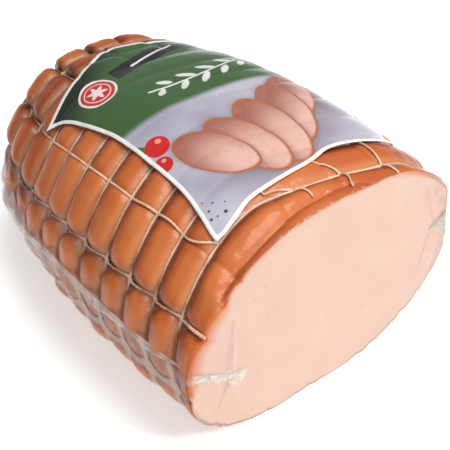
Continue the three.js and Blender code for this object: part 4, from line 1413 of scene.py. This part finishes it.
def film_paint():
    """Film that shows only at its marks: over the low left flank, underneath and in the face's creases."""
    paint = Paint("bag_film", Roughness=0.12, IOR=1.5)
    names = ("girth", "gap", "pocket", "crease", "behind")
    girth, gap, pocket, crest, behind = (paint.attribute(name) for name in names)
    broken = paint.noise(0.004, 2).step(0.35, 0.6) * 0.6 + 0.4
    flank = girth.step(176, 188) * girth.step(262, 250)
    under = girth.step(211, 216) * girth.step(262, 250)
    low = girth.step(186, 196) * girth.step(216, 211)
    webs = (pocket * 0.13 + crest * 0.30) * flank * broken
    webs = webs + gap.step(1.8, 3.6) * low * broken * 0.20
    bridged = (gap.step(0.10, 0.5) * 0.36 + gap.step(1.2, 2.4) * 0.22) * under
    alpha = (webs + bridged + under * 0.10) * behind + 0.012
    # painted shade: the film's tone is darker in the corner pockets and along the low band, and darker still
    # underneath, most where it lies close to the meat
    tone = paint.mix(pocket.most(low), colour(226, 200, 190), colour(190, 156, 142))
    tone = paint.mix(under, tone, paint.mix(gap.step(0.3, 2.0), colour(150, 110, 93), colour(190, 158, 146)))
    # painted glints: broken near-white highlights beside the hoops and along the cut's edge
    shine = paint.attribute("glint") * paint.noise(0.0020, 1).step(0.48, 0.58)
    tone = paint.mix(shine, tone, colour(255, 246, 234))
    alpha = alpha.most(shine * 0.8)
    place = paint.face_place()
    on_face = (1.0 - behind) * (paint.noise(0.006, 2).step(0.25, 0.6) * 0.5 + 0.5)
    for start, end, first_width, last_width, strength, shade in FACE_CREASES:
        mark = crease(place, start, end, first_width, last_width) * on_face
        tone = paint.mix(mark, tone, colour(*shade))
        alpha = alpha.most(mark * strength)
    paint.base(tone)
    paint.set("Alpha", alpha.least(0.85))
    paint.bump(paint.noise(0.003, 2), 0.0003)
    return paint.material


# Seam: a crumpled ribbon hanging round the sides; some values give a ripple's height, wavelength and seed
SEAM_CENTRE = (0.0, 0.095)
SEAM_STEPS = 520
SEAM_LANES = 9
SEAM_HALVINGS = 18
SEAM_WIDTH = 0.0034
SEAM_VARIETY = (0.25, 0.02, 23)
SEAM_TAPER = {"ends": (0, 0.03), "least": 0.35}
SEAM_OVERLAP = 0.01
SEAM_REAR = (0.55, 0.95)
SEAM_THICKNESS = 0.00018
SEAM_STANDOFF = 0.0019
SEAM_RISE = 0.0022
SEAM_DROOP = 2.6
CRUMPLES = [(0.00025, 0.006, 21), (0.0005, 0.014, 22)]

# Fold and fin: places on the cut face in millimetres, how far they stand before it, and how they droop
FACE_FOLD = [(-82.4, 50.6), (-75.6, 46.8), (-69.9, 44.2), (-62.9, 40.2), (-57.0, 38.0), (-47.5, 35.4)]
FACE_FIN = [(67.0, 52.6), (71.0, 55.6), (75.5, 58.4), (82.0, 60.0), (87.5, 59.6)]
STRIP_FOOT = -0.6
STRIP_STEPS = 120
STRIP_EASE = 0.15
STRIP_VARIETY = (0.12, 0.012, 24)
STRIP_CRUMPLING = 0.5
FOLD_DROOP = 4.0
FIN_DROOP = 9.0


def inside_body(points):
    x, y, z = (points[..., k] for k in range(3))
    drift, lift = section_shift(y)
    rise = (z - lift) / np.maximum(height_share(y), 1e-6) - WIDEST_LEVEL
    across = ((x - drift) / np.maximum(width_share(y), 1e-6) - FACE_SHIFT - LEAN * rise) / HALF_WIDTH
    power, reach = oval_quarter(across > 0, rise > 0)
    inside = np.abs(across) ** power + np.abs(rise / reach) ** power < 1
    return inside & (y > 0) & (y < LENGTH)


def seam_path():
    """Foot points and outward directions from the front left corner round the back to the front right."""
    corner = math.atan2(HALF_WIDTH, SEAM_CENTRE[1])
    turns = np.linspace(-corner - SEAM_OVERLAP, -2 * math.pi + corner + SEAM_OVERLAP, SEAM_STEPS)
    outward = np.stack([np.sin(turns), -np.cos(turns), np.zeros_like(turns)], -1)
    rearward = smoothstep((1 - np.cos(turns)) / 2, *SEAM_REAR)
    level = lerp(SEAM_LEVEL["side"], SEAM_LEVEL["back"], rearward) + SEAM_RISE
    start = np.stack([np.full_like(turns, SEAM_CENTRE[0]), np.full_like(turns, SEAM_CENTRE[1]), level], -1)
    near, far = np.zeros_like(turns), np.full_like(turns, LENGTH)
    for _ in range(SEAM_HALVINGS):
        middle = (near + far) / 2
        within = inside_body(start + outward * middle[:, None])
        near, far = np.where(within, middle, near), np.where(within, far, middle)
    foot = start + outward * near[:, None]
    standoff = SEAM_STANDOFF + tent_height(foot[:, 1]) - TENT_HEIGHT["front"]
    return foot + outward * standoff[:, None], outward


def ribbon(name, foot, outward, width, droop, material, crumpling=1.0):
    """A crumpled strip of film that stands out from its foot line."""
    lanes = np.linspace(0, 1, SEAM_LANES)
    lean = unit(outward + np.array([0, 0, -1]) * droop)
    points = foot[:, None] + lean[:, None] * (width[:, None, None] * lanes[None, :, None])
    side = unit(np.cross(np.gradient(foot, axis=0), lean))[:, None]
    points = points + side * (waves(points, CRUMPLES) * lanes * crumpling)[..., None]
    half = side * SEAM_THICKNESS / 2
    piece = sheet_object(name, points + half, points - half, material)
    add_attribute(piece, "lane", np.tile(lanes, 2 * len(foot)))
    add_attribute(piece, "along", np.tile(np.repeat(np.linspace(0, 1, len(foot)), SEAM_LANES), 2))
    return piece


def make_seam(material):
    foot, outward = seam_path()
    ends = np.minimum(np.arange(SEAM_STEPS), np.arange(SEAM_STEPS)[::-1]) / SEAM_STEPS
    taper = lerp(SEAM_TAPER["least"], 1, smoothstep(ends, *SEAM_TAPER["ends"]))
    width = SEAM_WIDTH * (1 + waves(foot, [SEAM_VARIETY])) * taper
    return ribbon("bag_seam", foot, outward, width, SEAM_DROOP, material)


def face_strip(name, places, width, droop, material):
    """A strip of film standing on the cut face; its width is a function of the share of its length."""
    route = np.array([(x, STRIP_FOOT, z) for x, z in places]) / 1000
    share = np.linspace(0, 1, STRIP_STEPS)
    foot = np.stack(along_route(route, share, STRIP_EASE), -1)
    outward = np.tile(np.array([0.0, -1.0, 0.0]), (len(foot), 1))
    width = width(share) * (1 + waves(foot, [STRIP_VARIETY]))
    return ribbon(name, foot, outward, width, droop, material, STRIP_CRUMPLING)


def fold_width(share):
    return 0.0050 + 0.0026 * bell(share, 0.76, 0.13) - 0.0034 * smoothstep(share, 0.88, 1)


def fin_width(share):
    return 0.0006 + 0.0200 * share ** 0.85


def seam_paint(name, body, edges):
    """Film of the seam: hazy along its middle, with two clearer lines along its edges."""
    paint = Paint(name, Roughness=0.2, IOR=1.5)
    lane = paint.attribute("lane")
    streaks = paint.noise(0.004, 2).step(0.3, 0.7)
    lines = lane.step(0.24, 0.08) * lane.step(0.0, 0.06) + (lane - 0.80).absolute().step(0.12, 0.03)
    soft = lane.step(0.0, 0.25) * lane.step(1.0, 0.75)
    paint.base(paint.mix(streaks, colour(208, 184, 174), colour(240, 230, 224)))
    paint.set("Alpha", ((streaks * 0.6 + 0.6) * soft * body + lines.least(1.0) * edges).least(0.9))
    paint.bump(paint.noise(0.003, 2), 0.00015)
    return paint.material


def fold_paint(name, strength, last, tones, variety=1.0):
    """Film gathered on the face: most solid along its middle, and fading out at a share of its length."""
    paint = Paint(name, Roughness=0.14, IOR=1.5)
    lane, along = paint.attribute("lane"), paint.attribute("along")
    streaks = paint.noise(0.003, 2, (1, 1, 2.5)).step(0.35, 0.65)
    soft = lane.step(0.0, 0.30) * lane.step(1.0, 0.60) * along.step(0.0, 0.10) * along.step(last, last - 0.12)
    paint.base(paint.mix(streaks, *tones))
    paint.set("Alpha", (streaks * variety + 1.1 - variety / 2) * strength * soft)
    paint.bump(paint.noise(0.002, 2), 0.0003 * variety)
    return paint.material


make_camera()
make_stage()

roast = make_roast(meat_paint())
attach(roast, "root")
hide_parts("roast")

netting = make_net(net_paint())
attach(netting, "root")
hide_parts("net")

label = make_label(label_paint())
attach(label, "root")
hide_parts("label")

film = make_film(film_paint())
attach(film, "root")
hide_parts("bag_rim")

fold_film = fold_paint("bag_fold", 0.24, 1.0, (colour(196, 192, 178), colour(232, 231, 220)))
fin_film = fold_paint("bag_fin", 0.36, 1.5, (colour(196, 197, 180), colour(208, 208, 193)), 0.25)
strips = [make_seam(seam_paint("bag_seam", 0.26, 0.32)),
          face_strip("bag_fold", FACE_FOLD, fold_width, FOLD_DROOP, fold_film),
          face_strip("bag_fin", FACE_FIN, fin_width, FIN_DROOP, fin_film)]
for strip in strips:
    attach(strip, "root")
    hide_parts("bag_rim")
